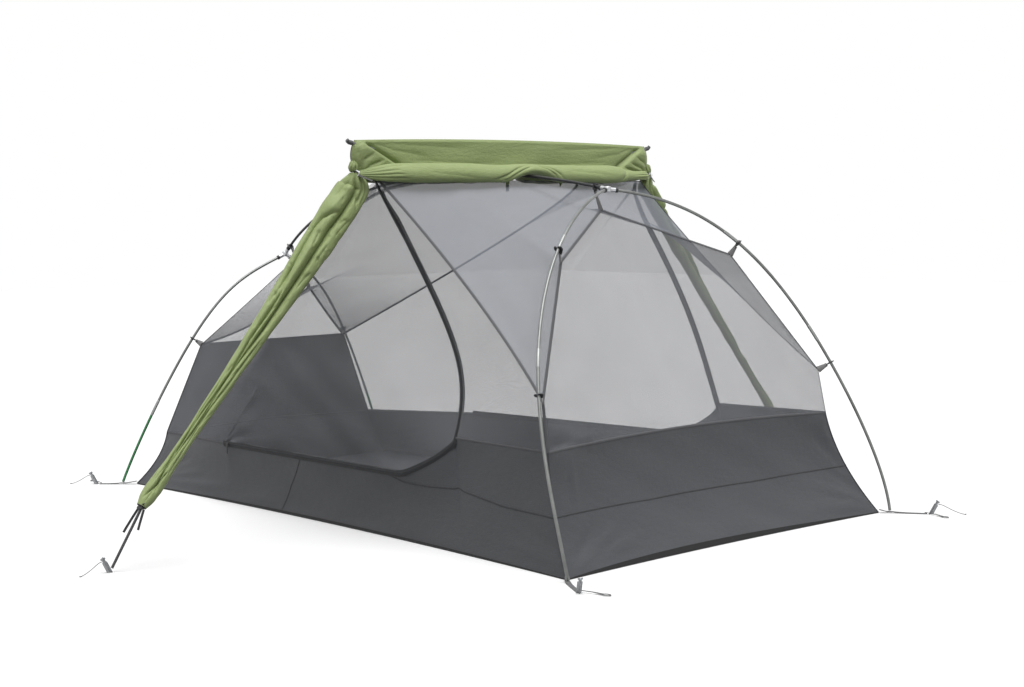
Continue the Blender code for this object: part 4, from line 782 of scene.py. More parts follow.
def add_panel(name, grid, finish, nodes, body=ROOT, folds=(), wave=0.0, seed=1):
    """A single sheet of cloth over a grid of points, with sculpted folds and random ripples.

    Fold lines are in metres along the grid's two directions, from its first corner. Wave is the
    height of the ripples, which its seed draws.
    """
    grid = np.asarray(grid, dtype=float)
    area = grid_area(grid)
    rows, columns = grid.shape[:2]
    wide = np.linalg.norm(np.diff(grid, axis=0), axis=2).sum(axis=0).mean()
    tall = np.linalg.norm(np.diff(grid, axis=1), axis=2).sum(axis=1).mean()
    u, v = np.meshgrid(np.linspace(0, wide, rows), np.linspace(0, tall, columns), indexing="ij")
    height = fold_height(u, v, folds)
    if wave:
        height = height + ripples(u, v, RIPPLE_SIZE, wave, seed)
    edge = np.minimum.reduce([u, wide - u, v, tall - v])
    height *= smooth_step(edge / STILL_EDGE)
    points = grid + grid_normals(grid) * height[..., None]
    GRIDS[name] = points
    flat = cloth_coordinates(grid)
    made = add_piece(name, points.reshape(-1, 3), grid_faces(rows, columns), finish, body, nodes, uv=flat)
    width, length = sorted(np.ptp(flat, axis=0))
    width = min(width, 2.0 * area / length)


def frames_along(path, up):
    """Tangent, sideways and upward unit vectors at each point of a path."""
    tangents = np.gradient(np.asarray(path, dtype=float), axis=0)
    tangents /= np.linalg.norm(tangents, axis=1, keepdims=True)
    up = np.broadcast_to(np.asarray(up, dtype=float), tangents.shape)
    sideways = np.cross(tangents, up)
    sideways /= np.linalg.norm(sideways, axis=1, keepdims=True)
    return tangents, sideways, np.cross(sideways, tangents)


def ring_faces(count, around):
    """Faces of a closed solid through rings of points, with flat ends."""
    faces = []
    for i in range(count - 1):
        for j in range(around):
            k = (j + 1) % around
            faces.append((i * around + j, i * around + k, (i + 1) * around + k, (i + 1) * around + j))
    faces.append(tuple(range(around))[::-1])
    faces.append(tuple((count - 1) * around + j for j in range(around)))
    return faces


SHARP_ANGLE = math.radians(50)  # between faces that meet in a hard edge


def add_rings(name, rings, finish, **settings):
    """A closed solid through rings of points."""
    rings = np.asarray(rings, dtype=float)
    faces = ring_faces(*rings.shape[:2])
    made = add_piece(name, rings.reshape(-1, 3), faces, finish, **settings)
    made.data.set_sharp_from_angle(angle=SHARP_ANGLE)
    return made


def add_swept(name, path, outline, finish, up=UP, **settings):
    """Sweeps an outline of (sideways, upward) points along a path."""
    path = np.asarray(path, dtype=float)
    _, sideways, upward = frames_along(path, up)
    outline = np.asarray(outline, dtype=float)
    rings = path[:, None] + sideways[:, None] * outline[None, :, :1] + upward[:, None] * outline[None, :, 1:]
    return add_rings(name, rings, finish, **settings)


def circle(radius, count):
    """Points of a circle, as an outline."""
    turn = np.arange(count) * 2 * math.pi / count
    return np.stack([radius * np.cos(turn), radius * np.sin(turn)], axis=1)


def strap_outline(width, thickness):
    """A flat strap's section, with rounded edges."""
    x, y = width / 2, thickness / 2
    return ((-x, 0), (-x + y, -y), (x - y, -y), (x, 0), (x - y, y), (-x + y, y))


def add_strap(name, path, width, thickness, finish=GREY_STRAP, **settings):
    """A flat strap along a path."""
    add_swept(name, path, strap_outline(width, thickness), finish, **settings)


def finish_carried_nodes():
    """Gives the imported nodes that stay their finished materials."""
    finishes = {"zip_slider": BLACK_PLASTIC, "ridge_saddle": BLACK_PLASTIC, "stake_": STAKE_METAL}
    for obj in bpy.data.objects:
        for start, finish in finishes.items():
            if obj.type == "MESH" and obj.name.startswith(start) and obj.get("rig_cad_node") is not None:
                for slot in obj.material_slots:
                    slot.material = finish


# Camera, light and floor

def add_camera():
    """The camera, level with the tent's roof and slightly above the horizon."""
    yaw, pitch, roll = CAMERA_YAW, CAMERA_PITCH, CAMERA_ROLL
    forward = Vector((-math.sin(yaw) * math.cos(pitch), math.cos(yaw) * math.cos(pitch), -math.sin(pitch)))
    right = Vector((math.cos(yaw), math.sin(yaw), 0.0))
    up = right.cross(forward)
    across = right * math.cos(roll) + up * math.sin(roll)
    upward = up * math.cos(roll) - right * math.sin(roll)
    turned = Matrix((across, upward, -forward)).transposed().to_4x4()
    turned.translation = Vector(CAMERA_PLACE)
    data = bpy.data.cameras.new("camera")
    data.sensor_width = SENSOR_WIDTH
    data.lens = CAMERA_FOCAL_SHARE * SENSOR_WIDTH
    made = bpy.data.objects.new("camera", data)
    made.matrix_world = turned
    bpy.context.collection.objects.link(made)
    bpy.context.scene.camera = made


def seen_directly(tree):
    """A socket that is 1 for what the camera, a mirror or clear glass sees."""
    rays = tree.add("ShaderNodeLightPath").outputs
    seen = rays["Is Camera Ray"]
    for other in ("Is Glossy Ray", "Is Transmission Ray"):
        seen = tree.math("MAXIMUM", seen, rays[other])
    return seen


WHITE = (1.0, 1.0, 1.0, 1.0)
WORLD_LEVEL = 0.36
SUN_LEVEL = 3.15
SUN_FROM = (0.14, -0.10, 0.98)
SUN_ANGLE = math.radians(55)


def add_light():
    """A white world, dimmer where it only lights things, and one broad soft light from above."""
    world = bpy.data.worlds.new("studio")
    world.use_nodes = True
    tree = Tree(world.node_tree)
    lit = tree.nodes["Background"]
    lit.inputs["Strength"].default_value = WORLD_LEVEL
    lit.inputs["Color"].default_value = WHITE
    white = tree.add("ShaderNodeBackground", {"Color": WHITE})
    inputs = {0: seen_directly(tree), 1: lit.outputs[0], 2: white.outputs[0]}
    mixed = tree.add("ShaderNodeMixShader", inputs)
    tree.set(tree.nodes["World Output"].inputs[0], mixed.outputs[0])
    bpy.context.scene.world = world
    data = bpy.data.lights.new("soft_sun", "SUN")
    data.energy = SUN_LEVEL
    data.angle = SUN_ANGLE
    made = bpy.data.objects.new("soft_sun", data)
    made.rotation_mode = "QUATERNION"
    made.rotation_quaternion = Vector(SUN_FROM).to_track_quat("Z", "Y")
    bpy.context.collection.objects.link(made)


FLOOR_REACH = 14.0
FLOOR_HEIGHT = -0.0004
FLOOR_GLOW = 0.07
FLOOR_COLOUR = (0.80, 0.80, 0.80, 1.0)
FLOOR_BOUNCE = (0.17, 0.17, 0.17, 1.0)


def add_stage():
    """A pale floor that is white where it is lit and keeps the tent's shadow.

    Seen directly it is paler than in the light it throws back, so that it does not light the
    tent's walls from below as a white sheet would.
    """
    signs = ((-1, -1), (1, -1), (1, 1), (-1, 1))
    mesh = bpy.data.meshes.new("floor")
    mesh.from_pydata([(x * FLOOR_REACH, y * FLOOR_REACH, FLOOR_HEIGHT) for x, y in signs], [], [(0, 1, 2, 3)])
    made = bpy.data.objects.new("floor", mesh)
    bpy.context.collection.objects.link(made)
    finish = bpy.data.materials.new("studio_floor")
    finish.use_nodes = True
    tree = Tree(finish.node_tree)
    tree.nodes.remove(tree.nodes["Principled BSDF"])
    seen = seen_directly(tree)
    shade = tree.add("ShaderNodeMix", {0: seen, 6: FLOOR_BOUNCE, 7: FLOOR_COLOUR}, data_type="RGBA")
    matt = tree.add("ShaderNodeBsdfDiffuse", {"Color": shade.outputs[2]})
    glow = tree.add("ShaderNodeEmission", {"Strength": tree.math("MULTIPLY", seen, FLOOR_GLOW)})
    both = tree.add("ShaderNodeAddShader", {0: matt.outputs[0], 1: glow.outputs[0]})
    tree.set(tree.nodes["Material Output"].inputs[0], both.outputs[0])
    mesh.materials.append(finish)


# Cords

# Each pull cord: how far out it falls to the ground, and how far on it lies, in metres
CORD_RUNS = {"foot_right": (0.035, 0.033), "head_left": (0.045, 0.036), "vestibule_right": (0.035, 0.030)}
CORD_LEVEL = 0.35  # share of the fall's reach that draws the cord level at its start
CORD_FALL = 0.72  # height that draws it half way out, as a share of its start's
CORD_LANDING = 0.012  # past the fall, where it is drawn to the ground

# Sizes of a cord's knot, in radii of the cord
KNOT_RING = 0.9
KNOT_HALF_LENGTH = 1.2
KNOT_RISE = 0.6
KNOT_STRAND = 0.8


def add_stake_cords():
    """The thin pull cords tied to three of the stakes, each from its knot down to its loose end."""
    for word, (reach, lying) in CORD_RUNS.items():
        foot, lean = stake_places()[word]
        axis, front, outward = stake_frame(lean)
        top = foot + axis * STAKE_HEIGHT * STAKE_TIE + front * CORD_CLEAR
        middle = top + outward * reach * 0.5
        middle[2] = top[2] * CORD_FALL
        low = top + outward * (reach + CORD_LANDING)
        low[2] = CORD_RADIUS * 3
        end = top + outward * (reach + lying)
        end[2] = CORD_RADIUS + 0.0002
        route = bezier((top, top + outward * reach * CORD_LEVEL, middle, low, end), 32)
        body = f"stake_{word}"
        knot = add_knot(f"cord_knot_{word}", end, outward, body)
        cord = add_swept(
            f"pull_cord_{word}", route, circle(CORD_RADIUS, 10), CORD_SHEATH, body=body,
            nodes=(f"stake_cord_{word}",),
        )


def add_knot(name, place, level, body):
    """A small overhand knot, as a thick twisted ring round the cord's end."""
    points = 40
    turns = np.linspace(0.0, 3 * math.pi, points)[:, None]
    onward = np.linspace(-KNOT_HALF_LENGTH, KNOT_HALF_LENGTH, points)[:, None]
    ring = np.cross(level, UP) * np.cos(turns) + UP * np.sin(turns)
    path = place + CORD_RADIUS * (level * onward + ring * KNOT_RING + UP * KNOT_RISE)
    return add_swept(name, path, circle(CORD_RADIUS * KNOT_STRAND, 8), CORD_SHEATH, up=level, body=body)


# Inner tent

FLOOR_CLEAR = 0.0012
FLOOR_RIM_POWER = 24  # how suddenly the floor rises to the walls at its rim


def add_floor():
    """The floor sheet."""
    steps = 80
    shares = np.linspace(0.0, 1.0, steps + 1)
    grid = coons(ground_edge(-1, shares), ground_edge(1, shares), end_edge(-1, steps), end_edge(1, steps))
    along_it, across = np.meshgrid(shares * 2 - 1, shares * 2 - 1, indexing="ij")
    end_rim, side_rim = np.abs(along_it) ** FLOOR_RIM_POWER, np.abs(across) ** FLOOR_RIM_POWER
    lift = np.where(along_it > 0, HEAD_LIFT, FOOT_LIFT) * (1 - across**2) * (1 - LIFT_LEAN * across) * end_rim
    lift += SIDE_LIFT * (1 - along_it**2) * side_rim
    grid[..., 2] = FLOOR_CLEAR + (GROUND - FLOOR_CLEAR) * np.maximum(end_rim, side_rim) + lift
    add_panel("floor_cloth", grid, FLOOR_CLOTH, ("floor_sheet",))


# Sizes of the strips of painted shadow under the walls
SHADOW_STRIP_BOTTOM = 0.0006
SHADOW_STRIP_THICKNESS = 0.0012


def add_painted_shadow_strips():
    """Painted shadow: near-black strips along the floor's edges, standing in for the shade that shows below
    the walls where they lift.
    """
    steps = 80
    shares = np.linspace(0.0, 1.0, steps + 1)
    edges = {
        "head": (end_edge(1, steps), (1.0, 0.0, 0.0)),
        "foot": (end_edge(-1, steps), (-1.0, 0.0, 0.0)),
    }
    for word, side in SIDES.items():
        edges[f"side_{word}"] = (ground_edge(side, shares), (0.0, side, 0.0))
    for name, (top, outward) in edges.items():
        outer = top + np.array(outward) * SHADOW_STRIP_THICKNESS
        low_outer, low = outer.copy(), top.copy()
        low_outer[:, 2] = low[:, 2] = SHADOW_STRIP_BOTTOM
        rings = np.stack([outer, low_outer, low, top], axis=1)
        add_rings(f"hem_{name}", rings, PAINTED_SHADOW_CLOTH)


# Folds of the solid walls, as (start, end, width, height) in metres along and up each wall
SIDE_FOLDS = (
    ((0.02, 0.02), (0.55, 0.050), 0.016, 0.004),
    ((0.02, 0.03), (0.38, 0.095), 0.012, 0.003),
    ((0.03, 0.05), (0.26, 0.150), 0.012, -0.003),
    ((1.62, 0.26), (1.95, 0.290), 0.010, 0.003),
    ((1.60, 0.23), (1.86, 0.262), 0.009, -0.0025),
    ((2.12, 0.015), (1.80, 0.040), 0.010, 0.003),
    ((2.11, 0.03), (1.86, 0.100), 0.009, -0.002),
)
HEAD_FOLDS = (
    ((0.02, 0.01), (0.26, 0.10), 0.008, 0.004),
    ((0.02, 0.02), (0.17, 0.13), 0.007, -0.003),
    ((0.04, 0.01), (0.34, 0.06), 0.010, 0.004),
    ((0.09, 0.29), (0.10, 0.14), 0.007, 0.003),
    ((1.33, 0.01), (1.05, 0.12), 0.009, 0.004),
    ((1.33, 0.02), (1.14, 0.17), 0.008, -0.003),
    ((1.31, 0.01), (0.98, 0.05), 0.010, 0.003),
    ((1.22, 0.29), (1.30, 0.10), 0.008, 0.004),
    ((1.17, 0.28), (1.26, 0.12), 0.007, -0.003),
)
FOOT_FOLDS = (
    ((0.03, 0.02), (0.42, 0.16), 0.014, 0.004),
    ((1.05, 0.02), (0.66, 0.16), 0.014, 0.004),
    ((0.12, 0.46), (0.50, 0.24), 0.016, 0.003),
    ((0.96, 0.46), (0.60, 0.22), 0.016, 0.003),
)


def add_tub_walls():
    """The low walls round the floor, and the tall solid wall at the foot."""
    rows, columns = 160, 24
    for number, (word, side) in enumerate(SIDES.items()):
        top = side_tub_top(side, rows)
        shares = (top[:, 0] - top[0, 0]) / (top[-1, 0] - top[0, 0])
        corners = [corner_edge(end, side, columns) for end in (-1, 1)]
        grid = coons(ground_edge(side, shares), top, *corners)
        add_panel(
            f"tub_side_{word}", grid, DARK_CLOTH, (f"tub_wall_{word}",),
            folds=SIDE_FOLDS, wave=0.0016, seed=11 + number,
        )
    rows = 96
    corners = [corner_edge(1, side, columns) for side in (-1, 1)]
    grid = coons(end_edge(1, rows), head_tub_top(rows), *corners)
    add_panel("tub_head", grid, DARK_CLOTH, ("tub_wall_head",), folds=HEAD_FOLDS, wave=0.0015, seed=21)
    rows, columns = 80, 40
    high = line(mirrored(FOOT_HIGH, -1), FOOT_HIGH, rows)
    edges = [
        resample(np.vstack((corner_edge(-1, side, 24), mirrored(FOOT_HIGH, side))), columns)
        for side in (-1, 1)
    ]
    grid = coons(end_edge(-1, rows), high, *edges)
    add_panel("end_foot", grid, DARK_CLOTH, ("end_wall_foot",), folds=FOOT_FOLDS, wave=0.002, seed=23)


def add_side_netting():
    """The netting of each side: the fixed parts at the foot and the head, and the door."""
    for number, (word, side) in enumerate(SIDES.items()):
        hinge_low = on_wall(DOOR_START, side)
        hinge_top = mirrored(RIDGE_END - HINGE_TOP, side)
        rows, columns = 40, 72
        edge = np.vstack((mirrored(FOOT_TUB, side), foot_side_seam(side, 48)))
        left = resample(edge, columns)
        top = resample([left[-1], mirrored(RIDGE_END, side), hinge_top], rows)
        grid = coons(line(left[0], hinge_low, rows), top, left, line(hinge_low, hinge_top, columns))
        add_panel(
            f"netting_foot_{word}", grid, NETTING, (f"mesh_side_foot_{word}",),
            wave=0.0015, seed=31 + number,
        )
        curve = zip_curve(side)
        _, upper = cut_at_height(curve, HEAD_TUB[2])
        left = resample(upper, columns)
        seam = np.vstack((mirrored(HEAD_TUB, side), head_side_seam(side, 48)))
        right = resample(seam, columns)
        grid = coons(line(left[0], right[0], rows), line(left[-1], right[-1], rows), left, right)
        add_panel(
            f"netting_head_{word}", grid, NETTING, (f"mesh_side_head_{word}",),
            wave=0.0015, seed=35 + number,
        )
        outline = resample(curve, 110)
        hinge = line(hinge_low, hinge_top, 110)
        start, end = line(hinge[0], outline[0], rows), line(hinge[-1], outline[-1], rows)
        grid = coons(hinge, outline, start, end)
        add_panel(
            f"door_netting_{word}", grid, NETTING, (f"door_panel_{word}",),
            body=f"door_{word}", wave=0.002, seed=41 + number,
        )


GUSSET_SEAM_STEPS = 40
GUSSET_START = 19  # step of the roof's foot seam at which a gusset starts
GUSSET_BOW = 0.060
GUSSET_GAP = 0.0005  # at the point where its sides meet


def add_ends_and_roof():
    """The netting at the head and the foot, and the roof panels."""
    rows, columns = 96, 48
    half = (HEAD_LOW, HEAD_HIGH, HEAD_PEAK)
    seam = [mirrored(point, -1) for point in half] + [HEAD_HIGH, HEAD_LOW]
    left, right = (line(mirrored(HEAD_TUB, side), mirrored(HEAD_LOW, side), columns) for side in (-1, 1))
    grid = coons(head_tub_top(rows), resample(seam, rows), left, right)
    add_panel("netting_end_head", grid, NETTING, ("mesh_end_wall_head",), wave=0.002, seed=51)

    rows, columns = 48, 32
    sides = [gable_edge(side, columns) for side in (-1, 1)]
    grid = coons(line(mirrored(FOOT_HIGH, -1), FOOT_HIGH, rows), line(FOOT_PEAK, FOOT_PEAK, rows), *sides)
    add_panel("netting_gable", grid, NETTING, ("mesh_gable_foot",), wave=0.001, seed=53)

    rows, columns = 96, 48
    half = np.vstack((line(HEAD_PEAK, HEAD_HIGH, 50), line(HEAD_HIGH, HEAD_LOW, 25)[1:]))
    outer = resample(np.vstack((mirrored(half, -1)[::-1], half[1:])), rows)
    seams = [head_side_seam(side, columns)[::-1] for side in (-1, 1)]
    grid = coons(ridge_line(-RIDGE_HALF, RIDGE_HALF, rows), outer, *seams)
    add_panel("roof_head_cloth", grid, DENSE_NETTING, ("roof_head",), wave=0.0015, seed=55)

    for number, (word, side) in enumerate(SIDES.items()):
        seam = foot_side_seam(side, GUSSET_SEAM_STEPS)[GUSSET_START:]
        ridge = mirrored(ridge_line(RIDGE_HALF, RIDGE_HALF - FOOT_SEAM_INSET, len(seam) - 1), side)
        middle = (seam[0] + ridge[0]) / 2 + UP * GUSSET_BOW
        outer = bezier((seam[0], middle, ridge[0]), 16)
        grid = coons(seam, ridge, outer, line(seam[-1], ridge[-1] + UP * GUSSET_GAP, 16))
        add_panel(f"roof_gusset_{word}", grid, ROOF_NETTING, (), wave=0.001, seed=61 + number)

    reach = RIDGE_HALF - FOOT_SEAM_INSET
    foot = np.vstack((gable_edge(-1, rows // 2), gable_edge(1, rows // 2)[-2::-1]))
    seams = [foot_side_seam(side, columns)[::-1] for side in (-1, 1)]
    grid = coons(ridge_line(-reach, reach, rows), foot, *seams, fading=2.0)
    add_panel("roof_foot_cloth", grid, ROOF_NETTING, ("roof_foot",), wave=0.0015, seed=57)


# Zips and seams

ZIP_HALF_WIDTH = 0.0078
ZIP_PITCH = 0.005
ZIP_TEETH = 0.0007
ZIP_TOP_SHIFT = np.array((-0.012, -0.002, -0.003))  # of the zip's upper end, from the ridge's end
ZIP_TOP_STEPS = 12  # of the zip's line, which turn to that upper end
LINING_WIDTH = 0.0105

# Sections of a zip's tape with its coil and of the cloth behind it, as (across, outward)
ZIP_TAPE = (
    (0.0003, -0.0006),
    (0.0003, 0.0020),
    (0.0026, 0.0020),
    (0.0034, 0.0008),
    (ZIP_HALF_WIDTH, 0.0005),
    (ZIP_HALF_WIDTH, -0.0005),
)
LINING = ((0.0003, -0.0012), (LINING_WIDTH, -0.0012), (LINING_WIDTH, -0.0022), (0.0003, -0.0022))


def zip_rings(path, side, toward, profile, teeth=0.0):
    """Rings of a strip along a path on a side wall.

    Each profile point is (across, outward) in metres. Across is toward the door's middle where
    toward is 1, and away from it where it is -1. Every other ring is raised, as the zip's teeth are.
    """
    steps = np.gradient(path, axis=0)
    across = np.cross((0.0, 1.0, 0.0), steps) * toward
    across /= np.linalg.norm(across, axis=1, keepdims=True)
    normal = np.cross(steps, across) * toward * side
    normal /= np.linalg.norm(normal, axis=1, keepdims=True)
    wave = np.where(np.arange(len(path)) % 2 == 0, teeth, 0.0)[:, None]
    tallest = max(b for _, b in profile)
    rings = [path + across * a + normal * (b + (wave if b == tallest else 0.0)) for a, b in profile]
    return np.stack(rings, axis=1)


def add_zips():
    """Each door's zip, as two halves of tape and coil: one on the tent and one on the door."""
    for word, side in SIDES.items():
        whole = zip_curve(side)
        top = mirrored(RIDGE_END + ZIP_TOP_SHIFT, side)
        turning = bezier((whole[-ZIP_TOP_STEPS], whole[-1], top), 24)
        on_tent = np.vstack((whole[:-ZIP_TOP_STEPS], turning))
        for where, toward, body, curve, nodes in (
            ("tent", -1, ROOT, on_tent, (f"door_zip_{word}",)),
            ("door", 1, f"door_{word}", whole, ()),
        ):
            curve = resample(curve, int(along(curve)[-1] / ZIP_PITCH * 2))
            rings = zip_rings(curve, side, toward, ZIP_TAPE, ZIP_TEETH)
            add_rings(f"zip_{where}_{word}", rings, ZIP_BLACK, body=body, nodes=nodes)
            rings = zip_rings(curve[::4], side, toward, LINING)
            add_rings(f"zip_lining_{where}_{word}", rings, ZIP_LINING, body=body)


def surface_line(grid, path, steps):
    """Points on a grid's surface along a polyline of (row share, column share)."""
    rows, columns = grid.shape[:2]
    shares = resample(np.asarray(path, dtype=float), steps)
    i, j = shares[:, 0] * (rows - 1), shares[:, 1] * (columns - 1)
    i0, j0 = np.minimum(i.astype(int), rows - 2), np.minimum(j.astype(int), columns - 2)
    a, b = (i - i0)[:, None], (j - j0)[:, None]
    low = grid[i0, j0] * (1 - a) + grid[i0 + 1, j0] * a
    high = grid[i0, j0 + 1] * (1 - a) + grid[i0 + 1, j0 + 1] * a
    normals = grid_normals(grid)[np.rint(i).astype(int), np.rint(j).astype(int)]
    return low * (1 - b) + high * b, normals


SEAM_WIDTH = 0.008
UPRIGHT_SEAM_WIDTH = 0.006
SEAM_THICKNESS = 0.0012
TENT_MIDDLE = np.array((0.0, 0.0, 0.35))  # the point that the seams face away from


def add_seam(name, path, normals, width=SEAM_WIDTH, finish=SEAM_TAPE, thickness=SEAM_THICKNESS):
    """A bound seam: a thin strip centred on its line, lying along the cloth."""
    add_strap(name, path, width, thickness, finish, up=normals)


def add_seams():
    """Bindings along every join of the inner tent."""
    for word, side in SIDES.items():
        head_tub, head_low, head_high = (mirrored(p, side) for p in (HEAD_TUB, HEAD_LOW, HEAD_HIGH))
        foot_tub, foot_high = mirrored(FOOT_TUB, side), mirrored(FOOT_HIGH, side)
        lines = {
            "corner_head": line(head_tub, head_low, 10),
            "roof_side_head": head_side_seam(side, 60),
            "roof_side_foot": foot_side_seam(side, 60),
            "head_wall_low": line(head_low, head_high, 20),
            "head_wall_high": line(head_high, HEAD_PEAK, 20),
            "gable": gable_edge(side, 24),
            "corner_foot": line(foot_tub, foot_high, 16),
            "tub_foot": line(foot_tub, on_wall(DOOR_START, side), 30),
            "tub_head": line(cut_at_height(zip_curve(side), HEAD_TUB[2])[1][0], head_tub, 30),
        }
        for where, path in lines.items():
            add_seam(f"seam_{where}_{word}", path, path - TENT_MIDDLE)
        for end, where in ((1, "head"), (-1, "foot")):
            path = corner_edge(end, side, 24)
            name = f"seam_upright_{where}_{word}"
            add_seam(name, path, path - TENT_MIDDLE, UPRIGHT_SEAM_WIDTH, DARK_SEAM)
    add_seam("seam_tub_end", head_tub_top(60), (1.0, 0.0, 0.3))
    add_seam("seam_wall_end", line(mirrored(FOOT_HIGH, -1), FOOT_HIGH, 40), (-1.0, 0.0, 0.6))
    add_seam("seam_ridge", ridge_line(-RIDGE_HALF, RIDGE_HALF, 80), UP)


# Sewn lines across the solid cloth, as shares along and up each wall
SIDE_SEAM = ((0.655, 0.98), (0.744, 0.71), (0.819, 0.53), (0.9, 0.47), (1.0, 0.465))
UPRIGHT_SEAM = ((0.446, 0.97), (0.406, 0.46), (0.381, 0.02))
WALL_SEAMS = {
    "tub_head": ((0.0, 0.465), (0.3, 0.425), (0.65, 0.425), (1.0, 0.465)),
    "end_foot": ((0.0, 0.38), (0.5, 0.405), (1.0, 0.38)),
    "tub_side_right": SIDE_SEAM,
    "tub_side_left": SIDE_SEAM,
}
SEWN_WIDTH = 0.0055
SEWN_UPRIGHT_WIDTH = 0.004
SEWN_THICKNESS = 0.0014
SEWN_RISE = 0.0003  # of a sewn line above the cloth


def add_wall_seams():
    """The thin sewn lines across the solid cloth."""
    for name, path in WALL_SEAMS.items():
        add_sewn_line(f"sewn_{name}", GRIDS[name], path, SEWN_WIDTH)
    for word in SIDES:
        add_sewn_line(f"sewn_upright_{word}", GRIDS[f"tub_side_{word}"], UPRIGHT_SEAM, SEWN_UPRIGHT_WIDTH)


def add_sewn_line(name, grid, path, width):
    """A sewn line on a wall, along shares of its grid."""
    points, normals = surface_line(grid, path, 60)
    outward = grid.mean(axis=(0, 1)) * (1, 1, 0)
    if np.sum(normals.mean(axis=0) * outward) < 0:
        normals = -normals
    add_seam(name, points + normals * SEWN_RISE, normals, width, DARK_SEAM, SEWN_THICKNESS)


# Pole frame

ROD_SIDES = 14
ROD_NOSE = 0.0015  # how far a rod's ends are rounded
MIDDLE_UP = (0.0013, 1.0, 0.0007)  # upward direction of the rings of a rod on the middle plane
POLE_SEAT = 0.014  # from a hub's centre to where its poles start
GREEN_GAP = 0.0003
SLEEVE_RADIUS = 0.0051
SLEEVE_LENGTH = 0.055
SPINE_SLEEVES = {"a": 0.42, "b": 1.02}  # distances along the spine pole from the foot hub
HEAD_SLEEVES = {"a": 0.40, "b": 0.80}  # distances along a head leg from its hub
GREEN_SLEEVE = 0.03  # from its start to the green section


def rod_rings(path, radius):
    """Rings of a round rod along a path, with softly rounded ends."""
    on_middle = abs(path[0, 1]) < 1e-6 and abs(path[-1, 1]) < 1e-6
    tangents, sideways, upward = frames_along(path, MIDDLE_UP if on_middle else UP)
    ring = circle(1.0, ROD_SIDES)
    shape = sideways[:, None] * ring[None, :, :1] + upward[:, None] * ring[None, :, 1:]
    rings = [path[0] + shape[0] * (radius - ROD_NOSE)]
    rings.append(path[0] + tangents[0] * ROD_NOSE + shape[0] * radius)
    rings += [place + turned * radius for place, turned in zip(path[1:-1], shape[1:-1])]
    rings.append(path[-1] - tangents[-1] * ROD_NOSE + shape[-1] * radius)
    rings.append(path[-1] + shape[-1] * (radius - ROD_NOSE))
    return np.array(rings)


def add_rod(name, path, radius, finish, nodes=()):
    """A round rod."""
    add_rings(name, rod_rings(path, radius), finish, nodes=nodes)


def add_poles():
    """The poles, with their sleeves where two sections meet."""
    spine = spine_line(160)
    path = resample(spine, 150, POLE_SEAT, along(spine)[-1] - POLE_SEAT)
    add_rod("spine_rod", path, POLE_RADIUS, POLE_DARK, ("spine_pole",))
    add_rod("ridge_rod", ridge_pole_line(100), POLE_RADIUS, POLE_GREY, ("ridge_pole",))
    sleeves = [(f"spine_{letter}", spine, start) for letter, start in SPINE_SLEEVES.items()]
    for word, side in SIDES.items():
        leg = head_leg_line(side, 160)
        path = resample(leg, 130, POLE_SEAT)
        add_rod(f"head_rod_{word}", path, POLE_RADIUS, POLE_GREY, (f"head_leg_{word}",))
        sleeves += [(f"head_{letter}_{word}", leg, start) for letter, start in HEAD_SLEEVES.items()]
        leg = foot_leg_line(side, 160)
        cut = along(leg)[-1] - GREEN_LENGTH
        path = resample(leg, 90, POLE_SEAT, cut)
        add_rod(f"foot_rod_{word}", path, POLE_RADIUS, POLE_GREY, (f"foot_leg_{word}",))
        path = resample(leg, 40, cut + GREEN_GAP)
        add_rod(f"foot_rod_tip_{word}", path, POLE_RADIUS, POLE_GREEN, (f"foot_leg_tip_{word}",))
        sleeves.append((f"foot_{word}", leg, cut - GREEN_SLEEVE))
    for name, path, start in sleeves:
        add_rod(f"sleeve_{name}", resample(path, 16, start, start + SLEEVE_LENGTH), SLEEVE_RADIUS, FERRULE)


# A hub's cast middle, as (radius, height above its centre)
HUB_PROFILE = (
    (0.0001, -0.0085),
    (0.0085, -0.0085),
    (0.0108, -0.0062),
    (0.0112, 0.0),
    (0.0108, 0.0062),
    (0.0085, 0.0085),
    (0.0001, 0.0085),
)
ARM_RADIUS = 0.0066
ARM_SPAN = (0.004, 0.030)  # from the hub's centre
COLLAR_RADIUS = 0.0074
COLLAR_SPAN = (0.0235, 0.033)


def add_hub(name, centre, paths, node):
    """A hub: a round cast middle with an arm to each pole, and a black collar round each arm."""
    ring = circle(1.0, 32)
    rings = [centre + np.column_stack((ring * r, np.full(len(ring), z))) for r, z in HUB_PROFILE]
    add_rings(f"{name}_middle", rings, HUB_METAL, nodes=(node,))
    for number, path in enumerate(paths):
        direction = unit(path[1] - path[0])
        arm = line(*(centre + direction * reach for reach in ARM_SPAN), 8)
        add_rod(f"{name}_arm_{number}", arm, ARM_RADIUS, HUB_METAL)
        collar = line(*(centre + direction * reach for reach in COLLAR_SPAN), 6)
        add_rod(f"{name}_collar_{number}", collar, COLLAR_RADIUS, BLACK_PLASTIC)


def add_hubs():
    """The hubs where the spine pole meets the legs."""
    add_hub("hub_head", HEAD_HUB, (spine_line()[::-1], head_leg_line(-1), head_leg_line(1)), "head_hub")
    add_hub("hub_foot", FOOT_HUB, (spine_line(), foot_leg_line(-1), foot_leg_line(1)), "foot_hub")


HOOK_RADIUS = POLE_RADIUS + 0.0022
HOOK_TURN = (math.radians(130), math.radians(410))
HOOK_NECK = (0.009, 0.004)  # down from the pole, and across it
HOOK_TAIL = 0.017
HOOK_WIDTH = 0.0125
HOOK_THICKNESS = 0.0031
CLIP_STRAP_START = 0.0135  # below the pole's centre
CLIP_STRAP_WIDTHS = ((0.0, 0.011), (0.3, 0.013), (1.0, 0.021))  # by share of its length
CLIP_STRAP_THICKNESS = 0.0022
HEAD_PEAK_CLIP = HEAD_HUB - (0.05, 0.0, 0.0)  # about where each peak's clip is on the spine pole
FOOT_PEAK_CLIP = FOOT_HUB + (0.03, 0.0, 0.03)


